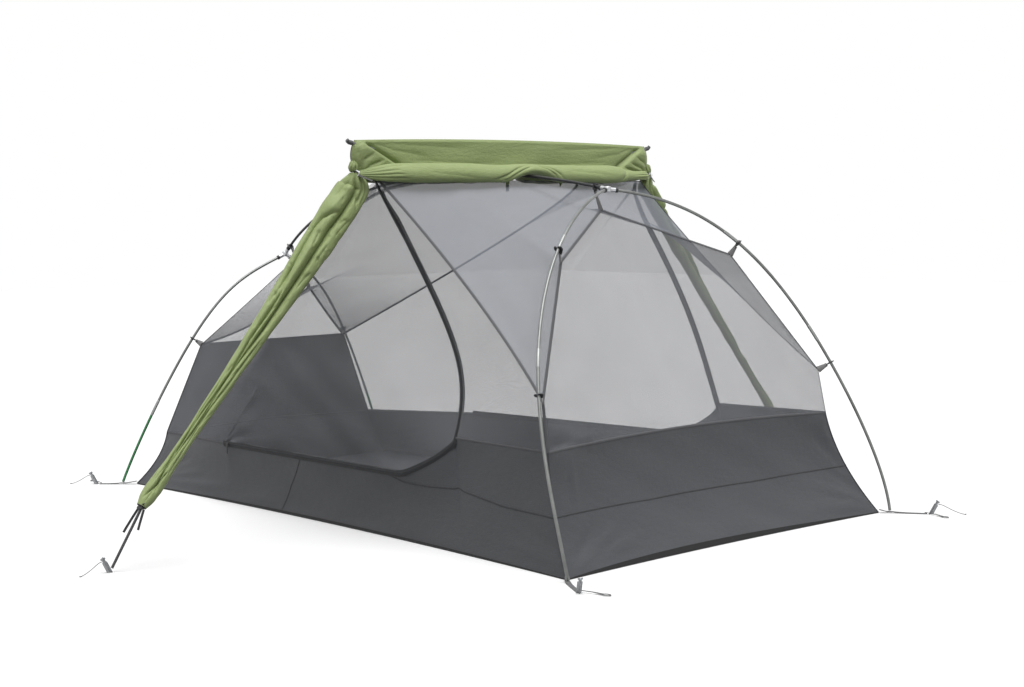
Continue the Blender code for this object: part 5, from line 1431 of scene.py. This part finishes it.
def nearest_on(path, point):
    """The point of a path nearest to a point, and the path's direction there."""
    index = int(np.argmin(np.linalg.norm(path - point, axis=1)))
    index = min(max(index, 1), len(path) - 2)
    return path[index], unit(path[index + 1] - path[index - 1])


def add_clip(name, path, hang, node, at=None):
    """A snap hook round a pole, and the sewn strap from it down to the cloth."""
    centre, axis = nearest_on(path, hang if at is None else at)
    reach = hang - centre
    down = unit(reach - axis * np.dot(reach, axis))
    across = np.cross(axis, down)
    turn = np.linspace(*HOOK_TURN, 30)[:, None]
    hook = centre - down * HOOK_RADIUS * np.sin(turn) + across * HOOK_RADIUS * np.cos(turn)
    neck = centre + down * HOOK_NECK[0] + across * HOOK_NECK[1]
    hook = resample(np.vstack((hook, neck, centre + down * HOOK_TAIL)), 44)
    outline = strap_outline(HOOK_WIDTH, HOOK_THICKNESS)[::-1]
    add_swept(f"{name}_hook", hook, outline, BLACK_PLASTIC, up=axis, nodes=(node,))
    stops = line(centre + down * CLIP_STRAP_START, hang, 12)
    widths = np.interp(np.linspace(0.0, 1.0, len(stops)), *zip(*CLIP_STRAP_WIDTHS))
    rings = []
    for place, width in zip(stops, widths):
        section = np.asarray(strap_outline(width, CLIP_STRAP_THICKNESS))
        rings.append(place + axis * section[:, :1] + across * section[:, 1:])
    add_rings(f"{name}_strap", rings, PALE_STRAP)


def add_clips():
    """The clips that hang the inner tent on the legs and on the spine pole."""
    for word, side in SIDES.items():
        head_leg, foot_leg = head_leg_line(side, 400), foot_leg_line(side, 400)
        for where, leg, hang in (
            ("head_high", head_leg, HEAD_HIGH),
            ("head_low", head_leg, HEAD_LOW),
            ("foot", foot_leg, FOOT_HIGH),
        ):
            add_clip(f"clip_{where}_{word}", leg, mirrored(hang, side), f"{where}_clip_{word}")
    spine = spine_line(400)
    add_clip("clip_head_peak", spine, HEAD_PEAK, "head_peak_clip", HEAD_PEAK_CLIP)
    add_clip("clip_foot_peak", spine, FOOT_PEAK, "foot_peak_clip", FOOT_PEAK_CLIP)


# Fly

KNOT_OUT = 0.617
KNOT_DROP = 0.104
KNOT_SHIFT = 0.009  # from the ridge pole, toward the head


def knot_place(side):
    """Where the fly's band, rolls and door panel are tied together at one end of the ridge pole."""
    return np.array((RIDGE_POLE_X + KNOT_SHIFT, side * KNOT_OUT, FLY_TOP - KNOT_DROP))


def add_cloth_grid(name, grid, nodes):
    """A shaped sheet of fly cloth over a grid, with coordinates by distance along it."""
    rows, columns = grid.shape[:2]
    down = np.linalg.norm(np.diff(grid, axis=0), axis=2).cumsum(axis=0)
    across = np.linalg.norm(np.diff(grid, axis=1), axis=2).cumsum(axis=1)
    u = np.vstack((np.zeros((1, columns)), down))
    v = np.hstack((np.zeros((rows, 1)), across))
    uv = np.stack([u.ravel(), v.ravel()], axis=1)
    faces = grid_faces(rows, columns)
    made = add_piece(name, grid.reshape(-1, 3), faces, GREEN_CLOTH, nodes=nodes, uv=uv)


BAND_DEPTH = 0.088
BAND_HALF_WIDTH = 0.024
BAND_END_DROP = 0.010
BAND_CLOSING = 0.030  # length over which each end of the band draws together

# Creases of the band, as (distance from its end, depth below its top) in metres
BAND_CREASES = (
    (((0.034, 0.004), (0.075, 0.026), (0.128, 0.056), (0.190, 0.090)), 0.0055, 0.0130),
    (((0.010, 0.100), (0.060, 0.086), (0.140, 0.072)), 0.0040, 0.0100),
    (((0.010, 0.098), (0.045, 0.072), (0.105, 0.055)), 0.0040, 0.0085),
    (((0.010, 0.094), (0.030, 0.055), (0.070, 0.034)), 0.0040, 0.0070),
    (((0.012, 0.094), (0.018, 0.055), (0.012, 0.006)), 0.0030, 0.0070),
    (((0.050, 0.000), (0.140, 0.030), (0.300, 0.055)), 0.0100, 0.0035),
    (((0.060, 0.000), (0.200, 0.016), (0.480, 0.030)), 0.0120, 0.0030),
    (((0.200, 0.060), (0.420, 0.072), (0.620, 0.070)), 0.0120, 0.0030),
)
BAND_PUFF = 0.009  # of the loose cloth outside its corner creases
BAND_CORNER = (0.036, 1.66)  # where that cloth starts, from its end, and how fast that grows downward
BAND_SOFT = 0.030  # width over which the puff swells out
BAND_NARROWING = 0.30  # of its lower edges toward the knots
BAND_CLOSED = 0.92  # share of its width that is drawn in at its ends
BAND_CLOSING_POWER = 1.5
BAND_FLAT_TOP = (-0.004, 0.016)  # depths between which the creases grow from nothing to full
BAND_TOP_SWELL = 0.3  # share of a crease's depth that also shows in the top's height
BAND_TOP_DEPTH = 0.05  # how far down that reaches
BAND_END_ROUND = 0.014
BAND_END_TUCK = 0.35  # share of that by which the end's top and bottom are tucked in
BAND_END_REACH = 0.06  # length of the rounded ends

# The band's section, as shares of its half width and depth, from an edge to the flat top
BAND_PROFILE = ((1.0, 1.0), (0.86, 0.80), (0.72, 0.55), (0.60, 0.30), (0.44, 0.08), (0.2, 0.0))


def add_band():
    """The fly's middle, drawn tight between the ridge pole's ends and falling to both rolls.

    Its ends are gathered to a knot: a sharp crease runs from each top corner down and inward, and
    the loose cloth outside it puffs out and is creased toward the knot.
    """
    rows, columns = 320, 96
    half = list(BAND_PROFILE)
    across = resample([(-x, drop) for x, drop in half] + half[::-1], columns)
    y = np.linspace(-FLY_HALF, FLY_HALF, rows + 1)[:, None] + np.zeros((1, columns + 1))
    share = np.abs(y) / FLY_HALF
    out = across[None, :, 0] + np.zeros_like(y)
    depth = across[None, :, 1] * BAND_DEPTH + np.zeros_like(y)
    from_end = FLY_HALF - np.abs(y)
    swell = crease_height(from_end, depth, BAND_CREASES)
    corner_line = BAND_CORNER[0] + BAND_CORNER[1] * depth
    puff = smooth_step((corner_line - from_end) / BAND_SOFT) * smooth_step(depth / BAND_SOFT)
    swell += BAND_PUFF * puff + ripples(y, depth * 3.0, 0.30, 0.0012, 71)
    none, full = BAND_FLAT_TOP
    swell *= smooth_step((depth - none) / (full - none))
    width = BAND_HALF_WIDTH * (1.0 - BAND_NARROWING * depth / BAND_DEPTH * share**6)
    closing = 1.0 - BAND_CLOSED * smooth_step(1.0 - from_end / BAND_CLOSING) ** BAND_CLOSING_POWER
    x = RIDGE_POLE_X + (out * width + np.sign(out) * swell) * closing
    z = FLY_TOP - depth - BAND_END_DROP * share**2
    z += BAND_TOP_SWELL * swell * smooth_step(1 - depth / BAND_TOP_DEPTH)
    rounding = np.sin(math.pi * np.clip(depth / BAND_DEPTH, 0.0, 1.0)) - BAND_END_TUCK
    y += np.sign(y) * BAND_END_ROUND * rounding * smooth_step(1.0 - from_end / BAND_END_REACH)
    grid = np.stack([x, y, z], axis=2)
    add_cloth_grid("fly_ridge", grid, ("fly_band",))


# A roll's radius, as (share of the way from its middle to the knot, radius)
ROLL_SIZES = {
    "head": (
        (-1.0, 0.007), (-0.972, 0.013), (-0.93, 0.020), (-0.88, 0.0262), (-0.80, 0.0285), (0.62, 0.0275),
        (0.70, 0.0245), (0.74, 0.0180), (0.80, 0.0155), (0.93, 0.0150), (0.98, 0.0115), (1.0, 0.007),
    ),
    "foot": (
        (-1.0, 0.007), (-0.97, 0.014), (-0.90, 0.024), (-0.80, 0.0285), (0.80, 0.0285), (0.90, 0.024),
        (0.97, 0.014), (1.0, 0.007),
    ),
}

# Creases of a roll, as (distance along it from its middle, angle), in metres and turns from the outside
ROLL_CREASES = (
    (((-0.615, 0.10), (-0.56, 0.14), (-0.46, 0.17)), 0.0035, 0.0045),
    (((-0.615, 0.04), (-0.57, 0.05), (-0.50, 0.05)), 0.0030, 0.0045),
    (((-0.615, -0.03), (-0.57, -0.03), (-0.49, -0.02)), 0.0030, 0.0050),
    (((-0.615, -0.10), (-0.56, -0.11), (-0.47, -0.10)), 0.0035, 0.0045),
    (((0.615, 0.10), (0.53, 0.12), (0.45, 0.20)), 0.0035, 0.0045),
    (((0.615, 0.02), (0.54, 0.03), (0.47, 0.02)), 0.0030, 0.0045),
    (((0.615, -0.08), (0.54, -0.07), (0.48, -0.12)), 0.0030, 0.0040),
    (((0.455, 0.22), (0.440, 0.08), (0.425, -0.06), (0.400, -0.18)), 0.0050, 0.0060),
    (((-0.160, -0.16), (-0.090, -0.02), (-0.020, 0.14), (0.035, 0.20)), 0.0035, 0.0070),
    (((-0.120, -0.18), (-0.065, -0.06), (0.000, 0.08), (0.035, 0.16)), 0.0035, 0.0060),
    (((0.035, 0.20), (0.090, 0.12), (0.130, -0.02), (0.150, -0.18)), 0.0035, 0.0070),
    (((0.035, 0.14), (0.075, 0.06), (0.105, -0.05), (0.120, -0.16)), 0.0035, 0.0060),
    (((-0.420, 0.02), (-0.300, -0.04), (-0.180, -0.10)), 0.0090, 0.0022),
    (((0.170, 0.06), (0.280, 0.02), (0.390, -0.04)), 0.0090, 0.0025),
)
ROLL_LEAN = 0.38  # of a roll's top toward the band, as a share of its height
ROLL_TYING = 0.535  # y from which a roll is drawn to its knot
ROLL_TIE_OUT = 0.004  # from a knot to the middle of the roll that is tied there
ROLL_LOW = 0.002  # how far the rolls hang below the solids' rolls
ROLL_SMOOTH = 0.02  # radius below which the creases grow shallower
ROLL_THIN_IN = 0.35  # how far a thin stretch of a roll lies inward and down, by its lack of radius
ROLL_THIN_DOWN = 0.30
HOOD_Y = 0.02
HOOD_HALF = 0.115
HOOD_RISE = 0.44  # of the roll's middle under the hood, and its flattening there, by its radius
HOOD_FLAT = 0.46
HOOD_POWER = 1.2  # how sharply the hood rises in its middle


def add_rolls():
    """The fly's two ends, rolled up to the ridge, with a hood over the spine pole."""
    steps, around = 320, 96
    turn = (np.arange(around + 1) / around - 0.5) * 2 * math.pi
    share = np.linspace(-1.0, 1.0, steps + 1)
    for number, (word, end) in enumerate((("head", 1.0), ("foot", -1.0))):
        stops, sizes = zip(*ROLL_SIZES[word])
        radius = softened(np.interp(share, stops, sizes), 3)
        y = share * KNOT_OUT
        tying = smooth_step((np.abs(y) - ROLL_TYING) / (KNOT_OUT - ROLL_TYING))
        from_hood = np.clip((y - HOOD_Y) / HOOD_HALF, -1, 1)
        lift = np.clip(np.cos(math.pi / 2 * from_hood), 0, 1) ** HOOD_POWER
        offset = ROLL_OFFSET + (end * KNOT_SHIFT + ROLL_TIE_OUT - ROLL_OFFSET) * tying
        thinness = (ROLL_RADIUS - radius) * (1 - tying)
        offset += ROLL_THIN_IN * thinness
        centre_z = FLY_TOP - ROLL_DROP - ROLL_LOW + HOOD_RISE * radius * lift
        centre_z -= (KNOT_DROP - ROLL_DROP) * tying + ROLL_THIN_DOWN * thinness
        angle, place = np.meshgrid(turn, y)
        swell = crease_height(place, angle * ROLL_RADIUS, [
            ([(a, b * 2 * math.pi * ROLL_RADIUS) for a, b in path], width, depth)
            for path, width, depth in ROLL_CREASES
        ])
        swell += ripples(place, angle * ROLL_RADIUS, 0.20, 0.0011, 81 + number)
        swell *= np.minimum(1.0, radius / ROLL_SMOOTH)[:, None]
        rise = ((radius * (1.0 - HOOD_FLAT * lift))[:, None] + swell) * np.sin(angle)
        out = (radius[:, None] + swell) * np.cos(angle)
        x = RIDGE_POLE_X + end * (offset[:, None] + out - ROLL_LEAN * rise)
        grid = np.stack([x, place, centre_z[:, None] + rise], axis=2)
        add_cloth_grid(
            f"fly_rolled_{word}", grid, (f"fly_roll_{word}",)
        )


TUFT_SIZE = np.array((0.013, 0.015, 0.019))
TUFT_SHIFT = np.array((-0.004, 0.007, 0.017))
TUFT_PLEATS = 7
TUFT_OPEN = 0.06  # angle left open at the tuft's top and bottom
TUFT_BODY = 0.86  # its mean size without pleats
TUFT_PLEAT = 0.16
TUFT_TWIST = 1.3  # how far the pleats turn from top to bottom
TUFT_NECK = 0.30  # how much it narrows toward the knot
TUFT_NECK_SPAN = (1.9, 3.1)  # angles from its top between which it narrows


def add_tufts():
    """The gathered edge of the fly that puffs out above each knot."""
    rows, columns = 36, 72
    start, end = TUFT_NECK_SPAN
    tilts = np.linspace(TUFT_OPEN, math.pi - TUFT_OPEN, rows + 1)
    tilt, turn = np.meshgrid(tilts, np.arange(columns + 1) * 2 * math.pi / columns, indexing="ij")
    for number, (word, side) in enumerate(SIDES.items()):
        pleats = TUFT_PLEAT * np.abs(np.sin(TUFT_PLEATS / 2 * turn + TUFT_TWIST * np.sin(tilt * 2)))
        pleats += ripples(turn, tilt, 1.4, 0.05, 65 + number)
        pleats -= TUFT_NECK * smooth_step((tilt - start) / (end - start))
        size = TUFT_SIZE * (TUFT_BODY + pleats)[..., None]
        shape = np.stack([np.sin(tilt) * np.cos(turn), np.sin(tilt) * np.sin(turn), np.cos(tilt)], axis=2)
        grid = mirrored(knot_place(1.0) + TUFT_SHIFT + size * shape, side)
        add_cloth_grid(f"fly_tuft_{word}", grid, ())


STRIP_HALF_WIDTH = 0.058
STRIP_HALF_DEPTH = 0.024
STRIP_HIDDEN = 8  # first steps of the strip's line, which the knot takes the place of
STRIP_FACE = 0.6  # share of its greatest width that its face has on average

# A bunched door panel's thickness, as (share of its length, share of its greatest)
STRIP_SIZES = (
    (0.0, 0.24), (0.02, 0.70), (0.045, 0.84), (0.09, 0.84), (0.14, 0.84), (0.22, 0.81), (0.32, 0.68),
    (0.41, 0.56), (0.51, 0.48), (0.60, 0.40), (0.70, 0.35), (0.79, 0.29), (0.88, 0.30), (0.95, 0.40),
    (0.985, 0.34), (1.0, 0.20),
)

# Creases of a bunched door panel, as (share of its length, share of its width): 0 is the edge seen
# higher from outside, 1 the lower one, and 1 to 2 is the back. A negative depth is a ridge
STRIP_CREASES = (
    (
        ((0.0, 0.42), (0.06, 0.64), (0.12, 0.64), (0.17, 0.58), (0.26, 0.60), (0.40, 0.62), (0.62, 0.58)),
        0.0040, 0.030,
    ),
    (
        ((0.115, 0.62), (0.135, 0.36), (0.155, 0.20), (0.19, 0.13), (0.27, 0.18), (0.42, 0.22)),
        0.0035, 0.018,
    ),
    (((0.04, 0.46), (0.10, 0.38), (0.15, 0.30)), 0.0160, -0.008),
    (((0.20, 0.42), (0.32, 0.42), (0.48, 0.42)), 0.0120, -0.006),
    (((0.0, 0.70), (0.04, 0.80), (0.09, 0.86)), 0.0030, 0.014),
    (((0.01, 0.80), (0.045, 0.93), (0.08, 0.98)), 0.0030, 0.010),
    (((0.02, 0.30), (0.05, 0.26), (0.10, 0.20)), 0.0030, 0.005),
    (((0.36, 0.40), (0.52, 0.30), (0.70, 0.46), (0.86, 0.70)), 0.0036, 0.020),
    (((0.44, 0.66), (0.60, 0.46), (0.76, 0.26), (0.93, 0.30)), 0.0036, 0.022),
    (((0.50, 0.84), (0.66, 0.74), (0.82, 0.50), (0.97, 0.42)), 0.0032, 0.018),
    (((0.62, 0.14), (0.74, 0.10), (0.88, 0.40), (0.99, 0.62)), 0.0032, 0.016),
    (((0.70, 0.60), (0.80, 0.74), (0.93, 0.84)), 0.0032, 0.014),
    (((0.84, 0.16), (0.91, 0.42), (0.97, 0.80)), 0.0032, 0.016),
    (((0.90, 0.70), (0.95, 0.50), (0.99, 0.20)), 0.0032, 0.014),
    (((0.05, 1.30), (0.40, 1.45), (0.95, 1.40)), 0.0070, 0.014),
    (((0.10, 1.70), (0.50, 1.60), (0.90, 1.75)), 0.0060, 0.010),
)
STRIP_DEPTH_SHARES = (0.35, 0.85)  # of its half depth: what it always has, and what goes with its size
STRIP_WIDE_SWELL = 0.5  # share of a crease's depth that also shows in the strip's width
STRIP_SMOOTH = 1.7  # the creases are shallower where the strip's size is below 1 / this

# Random puckers: how many, and the ranges that their sizes are drawn from
STRIP_PUCKERS = 60
PUCKER_START = (0.03, 0.97)
PUCKER_ACROSS = (0.05, 0.95)
PUCKER_LENGTH = (0.02, 0.07)
PUCKER_SLANT = (-0.22, 0.26)
PUCKER_BEND = 0.7
PUCKER_WIDTH = 0.0030
PUCKER_DEPTH = (0.0025, 0.0060)


def strip_puckers(seed):
    """Short random creases that run off the main ones, the same in every run."""
    random = np.random.default_rng(seed)
    creases = []
    for _ in range(STRIP_PUCKERS):
        start = random.uniform(*PUCKER_START)
        across = random.uniform(*PUCKER_ACROSS)
        length = random.uniform(*PUCKER_LENGTH)
        slant = random.uniform(*PUCKER_SLANT)
        middle = (start + length / 2, across + slant * PUCKER_BEND)
        path = ((start, across), middle, (start + length, across + slant))
        creases.append((path, PUCKER_WIDTH, random.uniform(*PUCKER_DEPTH)))
    return creases


def add_strips():
    """The fly's two door panels, bunched into long strips that hang from the knots."""
    steps, around = 420, 132
    turn = (np.arange(around + 1) / around * 2 - 0.5) * math.pi
    stops, sizes = zip(*STRIP_SIZES)
    for number, (word, side) in enumerate(SIDES.items()):
        path = resample(np.vstack((knot_place(side), strip_line(side, steps)[STRIP_HIDDEN:])), steps)
        length = along(path)[-1]
        tangents, _, _ = frames_along(path, UP)
        level = np.array((1.0, 0.0, 0.0))
        rising = np.cross(level, tangents) * side
        t = np.linspace(0.0, 1.0, steps + 1)
        share = softened(np.interp(t, stops, sizes), 5)[:, None]
        angle, along_it = np.meshgrid(turn, t)
        # 0 to 1 across the face, and on to 2 back across the other side
        across = np.where(angle >= 0, (1 - np.cos(angle)) / 2, 2 - (1 - np.cos(angle)) / 2)
        across = np.where(angle > math.pi, 1 + (1 + np.cos(angle)) / 2, across)
        width = 2 * STRIP_HALF_WIDTH * STRIP_FACE
        creases = [
            ([(a * length, b * width) for a, b in points], wide, deep)
            for points, wide, deep in (*STRIP_CREASES, *strip_puckers(91 + number))
        ]
        swell = crease_height(along_it * length, across * width, creases)
        swell += ripples(along_it * length, across * width, 0.09, 0.0016, 95 + number)
        swell *= np.minimum(1.0, share * STRIP_SMOOTH)
        wide = (STRIP_HALF_WIDTH * share + STRIP_WIDE_SWELL * swell) * np.cos(angle)
        always, by_size = STRIP_DEPTH_SHARES
        deep = (STRIP_HALF_DEPTH * (always + by_size * share) + swell) * np.sin(angle)
        x = -wide * math.cos(STRIP_TILT) + deep * math.sin(STRIP_TILT)
        z = wide * math.sin(STRIP_TILT) + deep * math.cos(STRIP_TILT)
        grid = path[:, None] + level * x[..., None] + rising[:, None] * z[..., None]
        add_cloth_grid(
            f"fly_door_{word}", grid, (f"fly_strip_{word}",),
        )


# A strap's sizes are its width and its thickness
TIP_TAB = (0.0135, 0.0098)
TIP_TAB_BACK = 0.014
TIP_TAB_ON = 0.007
TIP_TAB_LIFT = 0.004
TIE_SHIFT = np.array((0.010, 0.004, -0.001))  # of the ties' centre from the knot
TIES = ((0.5, 0.0085), (-0.4, 0.0075))  # how far each loop leans outward, and its radius
TIE_RADIUS = 0.0019
TIE_END = 0.002  # how far a tie's end lies beside its start
KNOT_STRAP = (0.0075, 0.0016)
KNOT_STRAP_LINE = np.array(((0.006, 0.0, -0.004), (0.024, -0.012, -0.013), (0.040, -0.022, -0.021)))
ROLL_STRAP = (0.014, 0.0016)
ROLL_STRAPS = {"middle": (-0.075, 0.022), "left": (0.155, 0.004)}  # y, and how far each hangs on
ROLL_STRAP_OUT = 0.068  # from the ridge pole
ROLL_STRAP_DROP = 0.022  # below the roll's centre


def add_fly_fittings():
    """The tabs at the pole's ends, the knots' ties and straps, and the straps of the rolls."""
    ridge = ridge_pole_line(100)
    for word, side in SIDES.items():
        tip = mirrored(ridge[-1], side)
        out = unit(tip - mirrored(ridge[-4], side))
        path = [tip - out * TIP_TAB_BACK, tip, tip + out * TIP_TAB_ON + UP * TIP_TAB_LIFT]
        add_strap(f"tip_tab_{word}", resample(path, 10), *TIP_TAB, up=(1.0, 0.0, 0.0))
        knot = knot_place(side) + mirrored(TIE_SHIFT, side)
        turn = np.linspace(0.0, 2 * math.pi, 33)[:-1]
        for number, (lean, size) in enumerate(TIES):
            level = side * lean * np.sin(turn)
            loop = knot + size * np.stack([np.cos(turn), level, np.sin(turn)], axis=1)
            loop = np.vstack((loop, loop[0] + (0.0, side * TIE_END, 0.0)))
            add_swept(
                f"knot_tie_{number}_{word}", loop, circle(TIE_RADIUS, 8), HUB_METAL,
                up=(0.0, 1.0, 0.02), slot="webbing_grey",
            )
        path = resample(knot + mirrored(KNOT_STRAP_LINE, side), 10)
        add_strap(
            f"knot_strap_{word}", path, *KNOT_STRAP, BLACK_PLASTIC, up=(1.0, 0.0, 0.6), slot="webbing_grey"
        )
    for name, (y, hang) in ROLL_STRAPS.items():
        top = np.array((RIDGE_POLE_X + ROLL_STRAP_OUT, y, FLY_TOP - ROLL_DROP - ROLL_STRAP_DROP))
        path = [top, top + (-0.004, 0.0, -0.010), top + (-0.008, 0.004, -0.012 - hang)]
        add_strap(f"roll_strap_{name}", resample(path, 12), *ROLL_STRAP, GREEN_STRAP, up=(1.0, 0.0, 0.3))


CORNER_STRAP = (0.013, 0.0018)
STRAP_AT_CORNER = 0.010  # height of its middle at the tub's corner
STRAP_HALF_WAY = 0.0062  # half way to the pole's tip
STRAP_UNDER_TIP = 0.0038
STRAP_LOW = 0.0012  # on the ground
STRAP_TIP_HALF = 0.0095  # length that lies under the tip, each way
CORNERS = {
    "head": (np.array((HALF_LENGTH, HALF_HEAD, 0.0)), HEAD_TIP),
    "foot": (np.array((-HALF_LENGTH, HALF_FOOT, 0.0)), FOOT_TIP),
}


def add_corner_straps():
    """The strap from each corner of the tub, under its pole's tip and round its stake."""
    for end, (corner, tip) in CORNERS.items():
        for word, side in SIDES.items():
            low, under = mirrored(corner, side), mirrored(tip * (1.0, 1.0, 0.0), side)
            stake, _ = stake_places()[f"{end}_{word}"]
            away = unit(stake - low)
            route = [
                low + away * 0.003 + UP * STRAP_AT_CORNER,
                (low + under) / 2 + UP * STRAP_HALF_WAY,
                under - away * STRAP_TIP_HALF + UP * STRAP_UNDER_TIP,
                under + away * STRAP_TIP_HALF + UP * STRAP_UNDER_TIP,
                under + away * 0.024 + UP * STRAP_LOW,
                stake - away * 0.022 + UP * STRAP_LOW,
                stake - away * 0.0098 + UP * STRAP_LOW,
            ]
            rising, falling = bezier(route[:3], 10), bezier(route[3:6], 12)
            path = resample(np.vstack((rising[:-1], resample(route[2:4], 4), falling[1:], route[6])), 40)
            add_strap(
                f"corner_strap_{end}_{word}", path, *CORNER_STRAP, nodes=(f"corner_webbing_{end}_{word}",)
            )


TAIL = (0.0036, 0.0020)
TAIL_LENGTH = 0.082
TAIL_AIM = np.array((0.98, -0.197, 0.0))  # out past the tent's end, and a little toward its middle line
TAIL_LIFT = 0.0046
TAIL_START = 0.016  # back from the stake
TAIL_MEETING = 0.55  # share of its length at which the loop comes back to it
EYE_SIZE = np.array((0.011, 0.0075))  # along the tail and across it
EYE_TURN = math.radians(155)


def add_corner_tails():
    """The looped tail of webbing that lies on the ground beyond the stake at each corner."""
    for end, forward in (("head", 1.0), ("foot", -1.0)):
        for word, side in SIDES.items():
            stake, lean = stake_places()[f"{end}_{word}"]
            aim = TAIL_AIM * (forward, side, 0.0)
            across = np.cross(UP, aim)
            start = stake - unit((lean[0], lean[1], 0.0)) * TAIL_START + UP * TAIL_LIFT
            eye = start + aim * TAIL_LENGTH - UP * TAIL_LIFT / 2
            turn = np.linspace(-EYE_TURN, EYE_TURN, 28)[:, None]
            loop = eye + aim * EYE_SIZE[0] * np.cos(turn) + across * EYE_SIZE[1] * np.sin(turn)
            meeting = start + aim * TAIL_LENGTH * TAIL_MEETING
            route = np.vstack((start, start + aim * TAIL_LENGTH / 2, loop, meeting))
            add_strap(f"corner_tail_{end}_{word}", resample(route, 80), *TAIL)


DOOR_STRAP = (0.0018, 0.0065)  # it lies on edge, so its first size is its thickness
DOOR_STRAP_BACK = 0.012  # of its start inside the bunched panel
DOOR_STRAP_SHORT = 0.0115  # of the stake's foot
DOOR_STRAP_LOW = 0.0016
BUCKLE_RADIUS = 0.0055
BUCKLE_ON = 0.016  # along the strap
BUCKLE_ENDS = np.array(((-0.013, 0.0, 0.0), (0.011, 0.0, 0.004)))  # from its middle
DOOR_WRAP = (0.010, 0.012)
WRAP_ENDS = np.array(((-0.010, 0.0, 0.010), (0.016, 0.0, 0.012)))
DOOR_TAIL = (0.0072, 0.0018)
DOOR_TAILS = ((-0.014, 0.066), (0.012, 0.052))  # shift along the tent, and length


def add_door_straps():
    """The strap from each bunched door panel of the fly down to its stake, with its buckle and tails."""
    for word, side in SIDES.items():
        end = strip_line(side, 40)
        start = end[-1] - unit(end[-1] - end[-2]) * DOOR_STRAP_BACK
        foot, _ = stake_places()[f"vestibule_{word}"]
        aim = unit(foot - start)
        stop = foot - aim * DOOR_STRAP_SHORT
        stop[2] = max(stop[2], DOOR_STRAP_LOW)
        add_strap(
            f"door_strap_{word}", line(start, stop, 24), *DOOR_STRAP,
            up=(1.0, 0.0, 0.0), nodes=(f"vestibule_webbing_{word}",),
        )
        buckle = start + aim * BUCKLE_ON
        bar = resample(buckle + BUCKLE_ENDS, 8)
        add_swept(f"door_buckle_{word}", bar, circle(BUCKLE_RADIUS, 16), BLACK_PLASTIC)
        wrap = resample(buckle + WRAP_ENDS, 8)
        add_strap(f"door_wrap_{word}", wrap, *DOOR_WRAP, up=(0.0, side, 0.3))
        for number, (shift, length) in enumerate(DOOR_TAILS):
            top = buckle + (shift, 0.0, -0.002)
            middle = top + aim * length * 0.5 + (shift * 0.6, 0.0, 0.0)
            low = top + aim * length + (shift * 1.2, 0.0, -0.004)
            add_strap(
                f"door_tail_{number}_{word}", bezier((top, middle, low), 14), *DOOR_TAIL, BLACK_PLASTIC,
                up=(1.0, 0.0, 0.4), slot="webbing_grey",
            )


add_camera()
add_light()
add_stage()
add_stake_cords()
add_floor()
add_painted_shadow_strips()
add_tub_walls()
add_side_netting()
add_ends_and_roof()
add_zips()
add_seams()
add_wall_seams()
add_poles()
add_hubs()
add_clips()
add_band()
add_rolls()
add_fly_fittings()
add_tufts()
add_strips()
add_corner_straps()
add_corner_tails()
add_door_straps()
finish_carried_nodes()

bpy.context.scene.view_settings.view_transform = "Standard"
